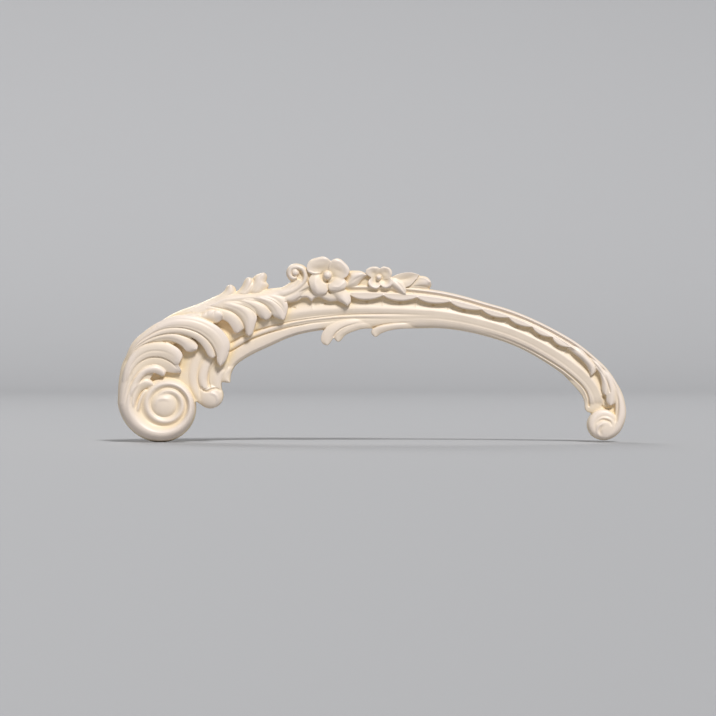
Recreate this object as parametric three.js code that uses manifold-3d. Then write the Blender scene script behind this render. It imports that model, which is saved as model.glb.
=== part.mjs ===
// A carved scroll onlay, moulded in one piece: an arched rail with a big leaf scroll at its left end, a small
// scroll at its right end, and two flowers on its back. Millimetres, +Z up. The front faces -Y and the flat
// back lies on y = 0. The origin is on the back, behind the middle of the rail.
import * as THREE from 'three';
import { mergeVertices } from 'three/addons/utils/BufferGeometryUtils.js';
import Module from 'manifold-3d';

// Driving dimensions
const LENGTH = 508;
const LEAF_HEIGHT = 27;
const SCROLL_HEIGHT = 24;
const STEM_HEIGHT = 19;
const FLOWER_HEIGHT = 22;
const LIP_HEIGHT = 16.5;
const ROLL_HEIGHT = 16;
const RIDGE_HEIGHT = 14;
const BEAD_HEIGHT = 12;
const RECESS_HEIGHT = 10;
const EDGE_HEIGHT = 8;
const TAIL_HEIGHT = 18;

// The drawing sheet: x runs right and y runs down in whole millimetres when LENGTH is DRAWN_LENGTH
const DRAWN_LENGTH = 508;
const SHEET_X = 371;
const SHEET_Y = 310;
const SCALE = LENGTH / DRAWN_LENGTH;

// How far each stroke runs on behind the back plane before the back is planed flat
const BURY = 3;

const wasm = await Module();
wasm.setup();

const at = ([x, y]) => new THREE.Vector2((x - SHEET_X) * SCALE, (SHEET_Y - y) * SCALE);
const curve = (points) => new THREE.SplineCurve(points.map(at));
const mix = THREE.MathUtils.lerp;

// A value at share s of a row of values spread evenly from 0 to 1
function along(values, s) {
  const place = s * (values.length - 1);
  const index = Math.min(Math.floor(place), values.length - 2);
  return mix(values[index], values[index + 1], place - index);
}

// A closed solid from a BufferGeometry, with its faces turned outwards
function solid(geometry) {
  const bare = geometry.index ? geometry.toNonIndexed() : geometry.clone();
  bare.deleteAttribute('normal');
  bare.deleteAttribute('uv');
  const welded = mergeVertices(bare, 1e-4);
  const index = welded.index.array;
  const places = welded.attributes.position.array;
  const triangles = [];
  for (let i = 0; i < index.length; i += 3) {
    const [a, b, c] = [index[i], index[i + 1], index[i + 2]];
    if (a !== b && b !== c && c !== a) triangles.push(a, b, c);
  }
  if (volume(places, triangles) < 0) triangles.reverse();
  const mesh = new wasm.Mesh({
    numProp: 3,
    vertProperties: new Float32Array(places),
    triVerts: new Uint32Array(triangles),
  });
  return new wasm.Manifold(mesh);
}

function volume(places, triangles) {
  const corner = (i) => new THREE.Vector3().fromArray(places, triangles[i] * 3);
  let sum = 0;
  for (let i = 0; i < triangles.length; i += 3) {
    sum += corner(i).dot(corner(i + 1).cross(corner(i + 2)));
  }
  return sum / 6;
}

// A loft through sections. A section is a row of [place, height] across the stroke; its two ends drop
// straight to the buried back.
function loft(sections) {
  const rings = sections.map((row) => {
    const front = row.map(([place, height]) => [place.x, -height, place.y]);
    const first = row[0][0];
    const last = row[row.length - 1][0];
    return [[first.x, BURY, first.y], ...front, [last.x, BURY, last.y]];
  });
  const around = rings[0].length;
  const corners = [];
  const face = (a, b, c) => corners.push(...a, ...b, ...c);
  for (let i = 0; i + 1 < rings.length; i += 1) {
    for (let j = 0; j < around; j += 1) {
      const k = (j + 1) % around;
      face(rings[i][j], rings[i][k], rings[i + 1][k]);
      face(rings[i][j], rings[i + 1][k], rings[i + 1][j]);
    }
  }
  const [head, tail] = [rings[0], rings[rings.length - 1]];
  for (let j = 1; j + 1 < around; j += 1) {
    face(head[0], head[j + 1], head[j]);
    face(tail[0], tail[j], tail[j + 1]);
  }
  const geometry = new THREE.BufferGeometry();
  geometry.setAttribute('position', new THREE.Float32BufferAttribute(corners, 3));
  return solid(geometry);
}

// How a stroke's top swells across its width: [share of the width, share of the swell]
const ROUND = [[0, 0], [0.18, 0.66], [0.5, 1], [0.82, 0.66], [1, 0]];
const LEANING = [[0, 0], [0.1, 0.62], [0.3, 1], [1, 0.4]];
const SOFT = [[0, 0], [0.22, 0.82], [0.7, 1], [1, 0]];

// A leaf, lobe or band between two edge lines, with its crest and edge heights along the way
function blade(left, right, crest, edge, { steps = 7, swell = ROUND } = {}) {
  const [a, b] = [curve(left), curve(right)];
  const sections = [];
  for (let i = 0; i <= steps; i += 1) {
    const s = i / steps;
    const [from, to] = [a.getPointAt(s), b.getPointAt(s)];
    const [low, high] = [along(edge, s), along(crest, s)];
    sections.push(swell.map(([t, rise]) => [from.clone().lerp(to, t), mix(low, high, rise)]));
  }
  return loft(sections);
}

// A rounded ridge that follows a crest line, half a width to each side
function ridge(points, halfWidths, crest, edge, steps = 16) {
  const path = curve(points);
  const sections = [];
  for (let i = 0; i <= steps; i += 1) {
    const s = i / steps;
    const middle = path.getPointAt(s);
    const heading = path.getTangentAt(s);
    const side = new THREE.Vector2(-heading.y, heading.x).multiplyScalar(along(halfWidths, s) * SCALE);
    const [low, high] = [along(edge, s), along(crest, s)];
    sections.push(ROUND.map(([t, rise]) => {
      return [middle.clone().addScaledVector(side, 2 * t - 1), mix(low, high, rise)];
    }));
  }
  return loft(sections);
}

// A round boss with a domed top
function boss(centre, radius, crest, edge, sides = 16) {
  const size = radius * SCALE;
  const turns = [0, 0.3, 0.6, 0.82, 1];
  const top = turns.map((t) => {
    return new THREE.Vector2(size * Math.cos((t * Math.PI) / 2), -mix(edge, crest, Math.sin((t * Math.PI) / 2)));
  });
  top[top.length - 1].x = 0;
  const profile = [new THREE.Vector2(0, BURY), new THREE.Vector2(size, BURY), ...top];
  const place = at(centre);
  return solid(new THREE.LatheGeometry(profile, sides).translate(place.x, 0, place.y));
}

// The rail: pairs of points on its inner and outer edge, one pair for each section along the way
const RAIL_INNER = [
  [231, 374], [236, 365], [250, 355.5], [270, 346], [290, 337.2], [310, 331.9], [335, 328.7], [360, 327.9],
  [385, 327.9], [410, 327.9], [432, 327.8], [452, 329.3], [472, 332.7], [490, 337.3], [508, 343.1],
  [525, 350.5], [541, 359.5], [556, 369.1], [570, 380], [579, 389.3], [584.2, 399], [586, 409],
];
const RAIL_OUTER = [
  [190, 330], [200, 317], [219, 302], [248, 292], [275, 288], [300, 286.3], [330, 285.2], [360, 284.5],
  [388, 285.3], [415, 287.4], [440, 290.8], [463, 295.9], [487, 302.9], [507, 308.7], [526, 315.9],
  [544, 324.2], [561, 333.1], [578, 343.6], [594, 356.3], [608, 370], [618.5, 386.5], [625, 407],
];
// Members of the rail: [share of the width, height at the left end, height at the right end]
const MEMBERS = [
  [0, EDGE_HEIGHT, EDGE_HEIGHT],
  [0.035, RECESS_HEIGHT, RECESS_HEIGHT],
  [0.19, RECESS_HEIGHT + 0.5, BEAD_HEIGHT + 0.5],
  [0.215, EDGE_HEIGHT + 0.8, RECESS_HEIGHT + 0.8],
  [0.265, BEAD_HEIGHT, BEAD_HEIGHT - 0.5],
  [0.315, EDGE_HEIGHT + 1, BEAD_HEIGHT + 0.5],
  [0.44, RIDGE_HEIGHT - 1, RIDGE_HEIGHT],
  [0.5, RECESS_HEIGHT, RECESS_HEIGHT],
  [0.73, RECESS_HEIGHT, RECESS_HEIGHT],
  [0.755, LIP_HEIGHT - 1.5, LIP_HEIGHT - 1.5],
  [0.79, LIP_HEIGHT, LIP_HEIGHT],
  [0.845, RECESS_HEIGHT + 1.5, RECESS_HEIGHT + 1.5],
  [0.925, ROLL_HEIGHT, ROLL_HEIGHT],
  [1, EDGE_HEIGHT + 1, EDGE_HEIGHT + 1],
];
const RAIL_STEPS = 38;
// Where the bead at the left has faded into the slope at the right, as shares of the way
const FADE_START = 0.28;
const FADE_END = 0.5;

const railInner = curve(RAIL_INNER);
const railOuter = curve(RAIL_OUTER);
const railPoint = (s, across) => railInner.getPoint(s).lerp(railOuter.getPoint(s), across);

function rail() {
  const sections = [];
  for (let i = 0; i <= RAIL_STEPS; i += 1) {
    const s = i / RAIL_STEPS;
    const fade = THREE.MathUtils.smoothstep(s, FADE_START, FADE_END);
    sections.push(MEMBERS.map(([across, left, right]) => [railPoint(s, across), mix(left, right, fade)]));
  }
  return loft(sections);
}

// Waves that hang from the rail's lip into its recess, from cusp to cusp, and the cut lip left of them
const CUSPS = [6.65, 7.85, 9.13, 10.53, 11.93, 13.3, 14.57, 15.74, 16.76];
const WAVE_STEPS = 5;
const WAVE_ROOT = 0.79;
const WAVE_EDGE = 0.745;
const WAVE_DROP = 0.1;

function waves() {
  const spans = RAIL_INNER.length - 1;
  const sections = [];
  CUSPS.slice(1).forEach((end, index) => {
    for (let i = index ? 1 : 0; i <= WAVE_STEPS; i += 1) {
      const t = i / WAVE_STEPS;
      const s = mix(CUSPS[index], end, t) / spans;
      const reach = WAVE_EDGE - WAVE_DROP * Math.sin(Math.PI * t);
      sections.push([
        [railPoint(s, WAVE_ROOT), LIP_HEIGHT - 0.3],
        [railPoint(s, mix(WAVE_ROOT, reach, 0.7)), LIP_HEIGHT - 0.6],
        [railPoint(s, reach), LIP_HEIGHT - 2.5],
      ]);
    }
  });
  return [
    loft(sections),
    blade([[282, 292], [300, 291], [320, 289.6], [354, 288.6]],
      [[282, 303.6], [292, 302.5], [298, 300.5], [303, 297.8], [308, 298.3], [311.5, 301.5], [314, 299],
        [319, 297.3], [324, 299.5], [330, 301.5], [337, 301], [346, 299.4], [354, 296.4]],
      [LIP_HEIGHT - 0.2, LIP_HEIGHT - 0.2], [LIP_HEIGHT - 1.5, LIP_HEIGHT - 1.5], { steps: 15, swell: SOFT }),
  ];
}

// The big leaf: its back, then its fingers from the scroll up and along the stem
const L = LEAF_HEIGHT;
const S = STEM_HEIGHT;

function leafBack() {
  return blade(
    [[118, 404], [119, 380], [124, 360], [140, 338.3], [170, 315.3], [200, 303.2], [224, 294], [248, 292],
      [268, 290.8], [282, 287.3], [291, 281.8]],
    [[138, 406], [146, 386], [160, 368], [172, 354], [190, 340], [212, 325], [234, 314], [254, 306],
      [274, 302], [290, 300.5], [302, 293]],
    [L - 4, L - 3, L - 4, L - 6, S, S - 1, S - 2],
    [EDGE_HEIGHT + 4, EDGE_HEIGHT + 4, EDGE_HEIGHT + 4, EDGE_HEIGHT + 2],
    { steps: 22, swell: LEANING },
  );
}

function fingers() {
  const [root, mid, tip] = [L - 6, L - 2, L];
  return [
    blade([[130, 412], [131.5, 396], [136, 385], [142, 379], [149, 378], [154, 381], [154, 385]],
      [[135, 412], [137.5, 400], [141.5, 392], [146, 388.5], [150, 387], [154, 385]],
      [root, root + 1, root], [16, 17, 17], { swell: SOFT }),
    blade([[133, 412], [136, 399], [141, 391], [145.5, 389], [149, 391]],
      [[136.5, 414], [138.5, 406], [141.5, 400], [146, 395.5], [149, 391]],
      [root - 2, root - 1, root - 2], [13, 15, 16], { steps: 5, swell: SOFT }),
    blade([[126, 386], [134, 371], [146, 364], [156, 363.5], [163, 366], [166.5, 371], [165, 375.5]],
      [[129, 396], [136, 381], [147, 374.3], [155, 373], [161, 375], [165, 375.5]],
      [root + 1, mid - 1, mid - 1, mid - 3], [16, 19, 20, 20]),
    blade([[124, 380], [132, 362], [146, 354], [160, 354], [171, 359], [177, 366], [179.8, 371]],
      [[128, 390], [136, 374], [146, 366.8], [157, 366.5], [166, 370], [173, 371.8], [180.2, 372]],
      [root + 1, root, root - 1], [18, 19, 18], { swell: SOFT }),
    blade([[121, 378], [129, 359], [140, 348.5], [152, 343.3], [166, 343.3], [177, 348], [184.5, 357]],
      [[126, 384], [134, 366], [146, 357], [160, 356.5], [171, 361], [178, 367], [181, 371.5]],
      [root + 1, mid - 1, mid, mid], [19, 20, 21, 22], { steps: 8 }),
    blade([[136, 350], [148, 340], [163, 334], [176, 333.3], [188, 336.3], [196, 342], [198.7, 347],
      [197, 350.5]],
      [[140, 356], [152, 346], [163, 340.8], [174, 342], [183, 346], [189, 351], [193, 352], [197, 350.5]],
      [root, mid - 1, mid, mid - 2], [18, 19, 20, 22], { steps: 8 }),
    blade([[138, 343], [151, 331.5], [166, 327.3], [182, 327.3], [197, 331], [208, 338], [214.5, 347],
      [217, 356.5]],
      [[141, 350], [153, 341], [165, 335], [180, 334], [192, 337], [200, 342.5], [206, 350], [209.5, 358.5],
        [213, 359.5]],
      [root, mid, mid + 1, mid], [18, 20, 21, 22], { steps: 9 }),
    blade([[151, 333], [162, 321.5], [178, 316.5], [195, 318], [212, 324], [223, 331.5], [229.5, 342],
      [229, 352], [225, 362], [221, 366]],
      [[154, 338], [165, 330], [180, 328], [195, 331], [206, 337], [213, 345], [216.5, 353], [217.5, 361],
        [221, 366]],
      [root, mid, tip, tip - 1], [18, 20, 21, 22], { steps: 10 }),
    blade([[182, 316], [194, 313.5], [204, 314.3], [209, 310.7], [216, 310.7], [221.5, 312.7], [222.8, 317]],
      [[184, 322], [198, 322.5], [208, 323], [214, 323], [219, 322], [222.8, 317]],
      [root - 1, root + 1, root + 1], [17, 18, 18], { steps: 6, swell: SOFT }),
    blade([[203, 308], [220, 312], [231, 316.5], [238, 322], [241.3, 328.5], [240, 332], [237, 334]],
      [[205, 318], [219, 321], [228, 324], [232, 329], [237, 334]],
      [root - 2, root, root, root - 2], [16, 17, 18], { steps: 7 }),
    blade([[208, 302], [226, 303], [240, 307.5], [249, 311.5], [254.5, 317], [257, 321], [254.7, 329],
      [253, 335], [250, 338]],
      [[210, 311], [226, 313], [236, 317], [241, 322], [244, 331], [247, 337], [250, 338]],
      [root - 2, root, root + 1, root - 2], [16, 17, 18], { steps: 9 }),
    blade([[230, 298], [246, 300], [256, 303.3], [264, 309], [269.2, 316], [268, 320]],
      [[232, 306], [246, 308], [254, 312], [259, 316], [264, 319.5], [268, 320]],
      [S - 1, S + 1, S + 1, S], [15, 16, 17], { steps: 7 }),
    blade([[240, 295], [256, 298], [268, 301.7], [277, 308], [284, 316.3], [283, 320]],
      [[242, 303], [256, 304.5], [265, 308], [271, 314], [277, 318.5], [283, 320]],
      [S - 1, S, S + 1, S - 1], [15, 15, 16], { steps: 7 }),
    blade([[260, 296], [274, 297.7], [283, 301.5], [286.8, 309], [286.3, 316], [284.5, 319]],
      [[262, 303], [272, 306], [279, 311], [283.5, 317.5], [284.5, 319]],
      [S - 2, S - 1, S - 1], [14, 14, 15], { steps: 6, swell: SOFT }),
  ];
}

// Leaf tips that stand up from the back of the stem
function spikes() {
  const crest = [S - 1, S, S - 3];
  const edge = [12, 12, 12];
  return [
    blade([[205, 301.5], [216, 296.5], [224, 291.2], [227.6, 285.6], [230.5, 284.3]],
      [[215, 308], [228, 301], [235, 295], [235.8, 291], [234, 287], [230.5, 284.3]],
      crest, edge, { steps: 6, swell: SOFT }),
    blade([[230, 293.5], [237.5, 291], [242, 287], [246, 279.7], [249.5, 277]],
      [[246, 300], [254, 294], [257, 286], [253.5, 280], [249.5, 277]],
      crest, edge, { steps: 6, swell: SOFT }),
    blade([[240, 298], [247, 289], [252.3, 279], [257.5, 274.4], [264.5, 272.6]],
      [[264, 300], [266.3, 291], [268.6, 285.3], [266.2, 281.5], [266.8, 276], [264.5, 272.6]],
      crest, edge, { steps: 8, swell: SOFT }),
  ];
}

// The big scroll: radii from its eye at quarter turns, from the left side round below
const EYE = [167, 403];
const COIL_CREST = [38, 29.5, 23.8, 19.2, 19.6, 18.8, 16, 10.4];
const COIL_OUTER = [49.5, 38.6, 28.6, 25.5, 26, 23, 20, 14];
const COIL_INNER = [28, 23, 19.8, 14.8, 15.2, 14.2, 12.4, 6.5];
const COIL_BED = SCROLL_HEIGHT - 6;
const COIL_STEPS = 34;

function bigScroll() {
  const turn = (radii, s) => {
    const angle = Math.PI + (s * (COIL_CREST.length - 1) * Math.PI) / 2;
    const radius = new THREE.SplineCurve(radii.map((r, i) => new THREE.Vector2(i, r))).getPoint(s).y;
    return at([EYE[0] + radius * Math.cos(angle), EYE[1] - radius * Math.sin(angle)]);
  };
  const crest = [SCROLL_HEIGHT - 1, SCROLL_HEIGHT, SCROLL_HEIGHT - 1, SCROLL_HEIGHT - 3, SCROLL_HEIGHT - 3.5];
  const sections = [];
  for (let i = 0; i <= COIL_STEPS; i += 1) {
    const s = i / COIL_STEPS;
    const [outer, top, inner] = [turn(COIL_OUTER, s), turn(COIL_CREST, s), turn(COIL_INNER, s)];
    const high = along(crest, s);
    const rim = mix(EDGE_HEIGHT + 2, RECESS_HEIGHT + 2, s);
    sections.push([
      [outer, rim],
      [outer.clone().lerp(top, 0.35), mix(rim, high, 0.72)],
      [top, high],
      [inner, COIL_BED],
    ]);
  }
  return [
    loft(sections),
    boss([158, 402.5], 34, RECESS_HEIGHT + 3, RECESS_HEIGHT + 2, 16),
    boss([167.2, 402.6], 19, COIL_BED, COIL_BED - 0.5, 16),
    boss([165.6, 403.3], 13.7, SCROLL_HEIGHT - 2, COIL_BED, 18),
  ];
}

// The ground between the leaf and its scrolls, and the small scroll that hangs beside the big one
function smallScroll() {
  return [
    blade([[150, 350], [160, 362], [170, 375], [186, 384], [193.5, 392], [196, 402]],
      [[205, 335], [222, 350], [226, 362], [226, 372], [221.5, 382], [222, 392]],
      [RIDGE_HEIGHT, RIDGE_HEIGHT], [RIDGE_HEIGHT - 1, RIDGE_HEIGHT - 1], { steps: 9 }),
    blade([[214, 366], [216, 374], [219.5, 381], [224, 382.2], [229.7, 382.6]],
      [[234, 362], [231.5, 370], [230.6, 375], [230.2, 379], [229.7, 382.6]],
      [BEAD_HEIGHT, BEAD_HEIGHT, RECESS_HEIGHT], [RECESS_HEIGHT, EDGE_HEIGHT], { steps: 6 }),
    boss([210.3, 395.4], 12.8, RIDGE_HEIGHT + 3, EDGE_HEIGHT + 3, 20),
    ridge([[206, 345], [197.5, 360], [193.7, 374], [194.5, 388], [200, 398.6]],
      [4.6, 5, 4.8, 4.4], [15, 16, 15.6], [RIDGE_HEIGHT - 1, RECESS_HEIGHT + 2], 9),
    ridge([[218.5, 349], [210, 360], [204.7, 370], [203.2, 380], [205.5, 388.3]],
      [4.8, 5.2, 5, 4], [16, 17.2, 17], [RIDGE_HEIGHT - 1, RIDGE_HEIGHT - 1], 8),
  ];
}

// The little scroll at the end of the stem and the leaf edge under it
function stemScroll() {
  return [
    boss([295.7, 273.2], 8, RECESS_HEIGHT + 3, RECESS_HEIGHT + 2, 12),
    ridge([[264, 295], [280, 291.5], [293, 286.5], [301, 280.5], [303.7, 274], [301, 268.5], [295.5, 266.8],
      [290.5, 268.9], [289.1, 273.3], [291, 277.8], [295.3, 278.3], [297.2, 275.2], [295, 272.8]],
      [4, 4, 3.6, 3, 2.7, 2.7, 2.5, 2.2], [S - 1, S, S, S + 1, S + 1],
      [RECESS_HEIGHT + 2, RECESS_HEIGHT + 2, RECESS_HEIGHT + 1], 22),
    blade([[262, 292], [280, 289.5], [295, 286], [306, 280.5], [309.5, 284], [308.5, 288.5]],
      [[262, 301], [275, 301.3], [286, 302], [294, 300.5], [299.5, 296], [303, 291], [308.5, 288.5]],
      [S - 1, S - 1, S - 2], [14, 14, 15], { steps: 7, swell: SOFT }),
  ];
}

// A petal from the heart of a flower to its tip
const PETAL_SPREAD = [0.5, 0.8, 0.96, 1, 0.9, 0.55];

function petal(heart, tip, width, height) {
  const axis = new THREE.Vector2(tip[0] - heart[0], tip[1] - heart[1]);
  const side = new THREE.Vector2(-axis.y, axis.x).normalize();
  const edge = (sign) => PETAL_SPREAD.map((w, i) => {
    const s = i / (PETAL_SPREAD.length - 1);
    const half = (sign * w * width) / 2;
    return [heart[0] + axis.x * s + side.x * half, heart[1] + axis.y * s + side.y * half];
  });
  const crest = [height - 5, height - 3, height, height - 1];
  return blade(edge(1), edge(-1), crest, crest.map((h) => h - 3), { steps: 6, swell: SOFT });
}

function flowers() {
  const big = [327.5, 276];
  const small = [379.5, 277.5];
  const F = FLOWER_HEIGHT;
  const bigTips = [[[314.5, 260.5], 24], [[345, 260.7], 21.5], [[343.5, 290.5], 17], [[316.5, 296], 20]];
  const smallTips = [[[369, 267], 14], [[389.8, 266.3], 14], [[391, 288], 14], [[369.8, 289], 13]];
  return [
    ...bigTips.map(([tip, width]) => petal(big, tip, width, F)),
    boss(big, 15, RIDGE_HEIGHT, RIDGE_HEIGHT - 1, 10),
    boss(big, 4.4, F + 0.5, F - 6, 10),
    ...smallTips.map(([tip, width]) => petal(small, tip, width, F - 3)),
    boss(small, 2.9, F - 1, F - 7, 8),
  ];
}

function flowerLeaves() {
  const h = FLOWER_HEIGHT - 3;
  const crest = [h - 2, h, h - 1];
  const edge = [15, 16, 16];
  const form = { steps: 6, swell: SOFT };
  return [
    blade([[330, 290], [332, 295], [337.5, 300.2], [343, 303.5], [347.5, 306]],
      [[344, 288], [349, 294], [350.7, 299], [350.3, 303], [347.5, 306]], crest, edge, form),
    blade([[342, 285], [346, 278], [349.6, 271.7], [355, 270.6], [361, 271.7], [368, 276.3]],
      [[344, 289], [351, 288.5], [356, 286.8], [360, 284], [364, 280], [368, 276.3]], crest, edge, form),
    blade([[386, 281], [391, 277], [398, 274.2], [405, 272.7], [412, 272.8], [419, 275]],
      [[388, 289], [396, 289], [404, 288], [410, 285.5], [414.5, 281], [419, 275]], crest, edge, form),
    blade([[387, 286], [392, 288.5], [397, 292], [402, 294.6], [406, 294.7]],
      [[390, 278.5], [397, 279], [402.3, 283.7], [405.8, 288.5], [406, 294.7]], crest, edge, form),
    blade([[408, 286], [412, 280], [418, 277], [424, 276.2], [429.3, 278.3], [431.3, 283]],
      [[408, 290], [415, 291], [421, 291], [426, 290.2], [430.3, 287.5], [431.3, 283]],
      [h - 3, h - 1, h - 2], [13, 14, 14], form),
  ];
}

// Leaves that turn over the rail's inner edge
function innerLeaves() {
  const b = BEAD_HEIGHT;
  const crest = [b, b + 1.5, b + 3, b + 3];
  const edge = [b - 1, b - 1, b, b];
  const form = { steps: 8, swell: SOFT };
  return [
    blade([[376, 318], [352, 319.5], [337, 322], [327.5, 326.5], [322.5, 332], [321.2, 338.3],
      [322.5, 342.7], [327.2, 346]],
      [[376, 323], [356, 324], [346, 327], [338.5, 331.5], [334, 336.3], [331, 341], [327.2, 346]],
      crest, edge, form),
    blade([[378, 320], [356, 321.5], [345, 325.5], [337.5, 330.8], [333.8, 336], [335.8, 340.6],
      [338.6, 342.4]],
      [[379, 328.4], [366, 328.6], [357.4, 330.2], [349.7, 332.9], [345, 335.5], [342, 338.8],
        [338.6, 342.4]], crest, edge, form),
    blade([[414, 320.5], [398, 321.5], [386, 323.5], [377, 326], [372.3, 329], [371.3, 333], [375.4, 337.4]],
      [[412, 328.3], [398, 328.9], [389.5, 330.6], [382.6, 332.9], [379.5, 334.4], [377.5, 336],
        [375.4, 337.4]], crest, edge, form),
  ];
}

// The tail: leaves that run down the rail's right end into a small scroll
function tail() {
  const h = TAIL_HEIGHT;
  const crest = [h - 4, h - 1, h];
  const edge = [RECESS_HEIGHT + 1, RECESS_HEIGHT + 3, RECESS_HEIGHT + 4];
  const form = { steps: 6, swell: SOFT };
  return [
    blade([[562, 346], [572, 352], [580, 358.3], [585, 364], [588, 370], [591, 375.5]],
      [[568, 342], [580, 350], [590, 359], [595.8, 367], [594.5, 372], [591, 375.5]], crest, edge, form),
    blade([[583, 357], [592, 364], [598.7, 374], [601, 381], [602, 388], [604, 394.5]],
      [[588, 354], [600, 366], [607, 377], [609.5, 385], [608.5, 390.5], [604, 394.5]], crest, edge, form),
    blade([[597, 369], [604.5, 381], [606, 392], [607, 399], [609.5, 405.5]],
      [[602, 368.5], [611, 382], [615, 393], [614, 400], [609.5, 405.5]], crest, edge, form),
    blade([[582, 394], [584.5, 402], [585.6, 408.5], [588, 412], [591.5, 414], [592, 422]],
      [[616, 388], [619, 396], [621, 404], [621, 410], [620, 416], [618, 424]],
      [RECESS_HEIGHT, RECESS_HEIGHT], [RECESS_HEIGHT - 1, RECESS_HEIGHT - 1], form),
    ridge([[601, 369], [610, 381], [616.5, 393], [619.8, 406], [619.5, 418], [614.3, 429.3], [605, 434.5],
      [596.4, 432.3], [592.9, 425.6], [594.5, 418.7], [600.3, 414.2]],
      [2, 3.6, 5, 5.6, 6, 6, 5.4, 4.4], [ROLL_HEIGHT, ROLL_HEIGHT, h - 1, h - 1, h - 1.5],
      [EDGE_HEIGHT + 2, EDGE_HEIGHT + 2, RECESS_HEIGHT], 22),
    boss([604.5, 426.5], 11.8, h, RIDGE_HEIGHT, 16),
    ridge([[592.3, 418.3], [599, 413.2], [608, 412.7], [613.7, 417.2], [613.3, 423.2]],
      [3.4, 4, 4, 3, 2.4], [h - 2.5, h - 1.3, h - 1], [RECESS_HEIGHT + 3, RECESS_HEIGHT + 3], 9),
  ];
}

function onlay() {
  const strokes = [
    rail(), ...waves(), leafBack(), ...fingers(), ...spikes(), ...bigScroll(), ...smallScroll(),
    ...stemScroll(), ...flowers(), ...flowerLeaves(), ...innerLeaves(), ...tail(),
  ];
  const joined = strokes.reduce((sum, stroke) => sum.add(stroke));
  const waste = new THREE.BoxGeometry(2 * LENGTH, 4 * BURY, 2 * LENGTH).translate(0, 2 * BURY, 0);
  return joined.subtract(solid(waste));
}

function geometryOf(manifold) {
  const mesh = manifold.getMesh();
  const geometry = new THREE.BufferGeometry();
  geometry.setAttribute('position', new THREE.BufferAttribute(mesh.vertProperties, 3));
  geometry.setIndex(new THREE.BufferAttribute(mesh.triVerts, 1));
  return geometry;
}

const ivory = new THREE.MeshStandardMaterial({ color: 0xe9dccd, roughness: 0.45, metalness: 0 });
const piece = new THREE.Mesh(geometryOf(onlay()), ivory);
piece.name = 'scroll_onlay';

const group = new THREE.Group();
group.add(piece);
export default group;
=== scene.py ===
# %% [markdown]
# # A scroll onlay in moulded polyurethane
#
# The real piece is carved once, in wood or plaster, and then cast many times in rigid polyurethane foam
# with a smooth skin. It is glued to a wall, a door or a piece of furniture by its flat back. The packed
# solid gives its place and size. Here the same carving is made again at full fineness, and dressed in the
# satin ivory primer that such castings leave the mould with.

# %% Load the frame
import math

import bpy
import numpy as np
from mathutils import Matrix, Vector


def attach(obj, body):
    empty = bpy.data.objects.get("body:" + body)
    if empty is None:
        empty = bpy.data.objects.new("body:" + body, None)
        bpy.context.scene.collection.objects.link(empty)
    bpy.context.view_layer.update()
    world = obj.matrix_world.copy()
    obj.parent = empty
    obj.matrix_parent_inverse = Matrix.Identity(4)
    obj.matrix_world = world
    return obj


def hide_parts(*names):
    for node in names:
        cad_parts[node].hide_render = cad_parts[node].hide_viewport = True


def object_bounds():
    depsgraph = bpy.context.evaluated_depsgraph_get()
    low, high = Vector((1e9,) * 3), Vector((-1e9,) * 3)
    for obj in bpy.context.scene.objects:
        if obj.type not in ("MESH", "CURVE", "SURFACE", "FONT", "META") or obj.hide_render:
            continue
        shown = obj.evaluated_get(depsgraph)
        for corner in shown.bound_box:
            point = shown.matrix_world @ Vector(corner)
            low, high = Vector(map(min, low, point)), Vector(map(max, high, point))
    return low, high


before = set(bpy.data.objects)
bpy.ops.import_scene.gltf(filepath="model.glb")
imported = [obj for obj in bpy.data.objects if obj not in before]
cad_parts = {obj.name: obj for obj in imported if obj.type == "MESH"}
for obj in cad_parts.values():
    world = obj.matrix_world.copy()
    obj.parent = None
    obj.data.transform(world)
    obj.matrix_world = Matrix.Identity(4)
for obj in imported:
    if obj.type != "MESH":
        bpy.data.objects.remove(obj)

CAD_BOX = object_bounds()
CORNERS_MM = [[round(v * 1000) for v in corner] for corner in CAD_BOX]
print("solid from", CORNERS_MM[0], "to", CORNERS_MM[1], "mm")

# %% [markdown]
# ## The drawing
#
# Carvers work from a full-size drawing. Every stroke below is given on such a sheet, whose grid is one
# millimetre: x runs right and y runs down. A stroke is a leaf, a petal, a roll or a moulding. Each one is
# lofted from its own few points down to the flat back, and where strokes cross, the higher one shows.

# %% The sheet and its curves
MM = 0.001
SHEET_X = 371
SHEET_Y = 310
ALONG = 64
ACROSS = 23


def smooth(points, cuts=16):
    """A smooth line through the drawn points, cut finely."""
    p = np.array(points, float)
    p = np.vstack([p[:1], p, p[-1:]])
    t = np.linspace(0, 1, cuts + 1)[:-1, None]
    parts = []
    for a, b, c, d in zip(p, p[1:], p[2:], p[3:]):
        bend = (2 * a - 5 * b + 4 * c - d) * t ** 2 + (3 * b - a - 3 * c + d) * t ** 3
        parts.append(b + 0.5 * ((c - a) * t + bend))
    return np.vstack(parts + [p[-1:]])


def spaced(points, count):
    """Evenly spaced points along a drawn line."""
    way = smooth(points)
    run = np.concatenate([[0], np.cumsum(np.linalg.norm(np.diff(way, axis=0), axis=1))])
    places = np.linspace(0, run[-1], count)
    return np.column_stack([np.interp(places, run, way[:, k]) for k in (0, 1)])


def along(values, s):
    """A smooth run through a few values spread evenly from 0 to 1."""
    values = np.atleast_1d(np.array(values, float))
    if len(values) == 1:
        return np.full(np.shape(s), values[0])
    fine = smooth(np.column_stack([np.linspace(0, 1, len(values)), values]))
    return np.interp(s, fine[:, 0], fine[:, 1])


print("strokes are cut", ALONG, "times along and", ACROSS, "times across")

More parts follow.
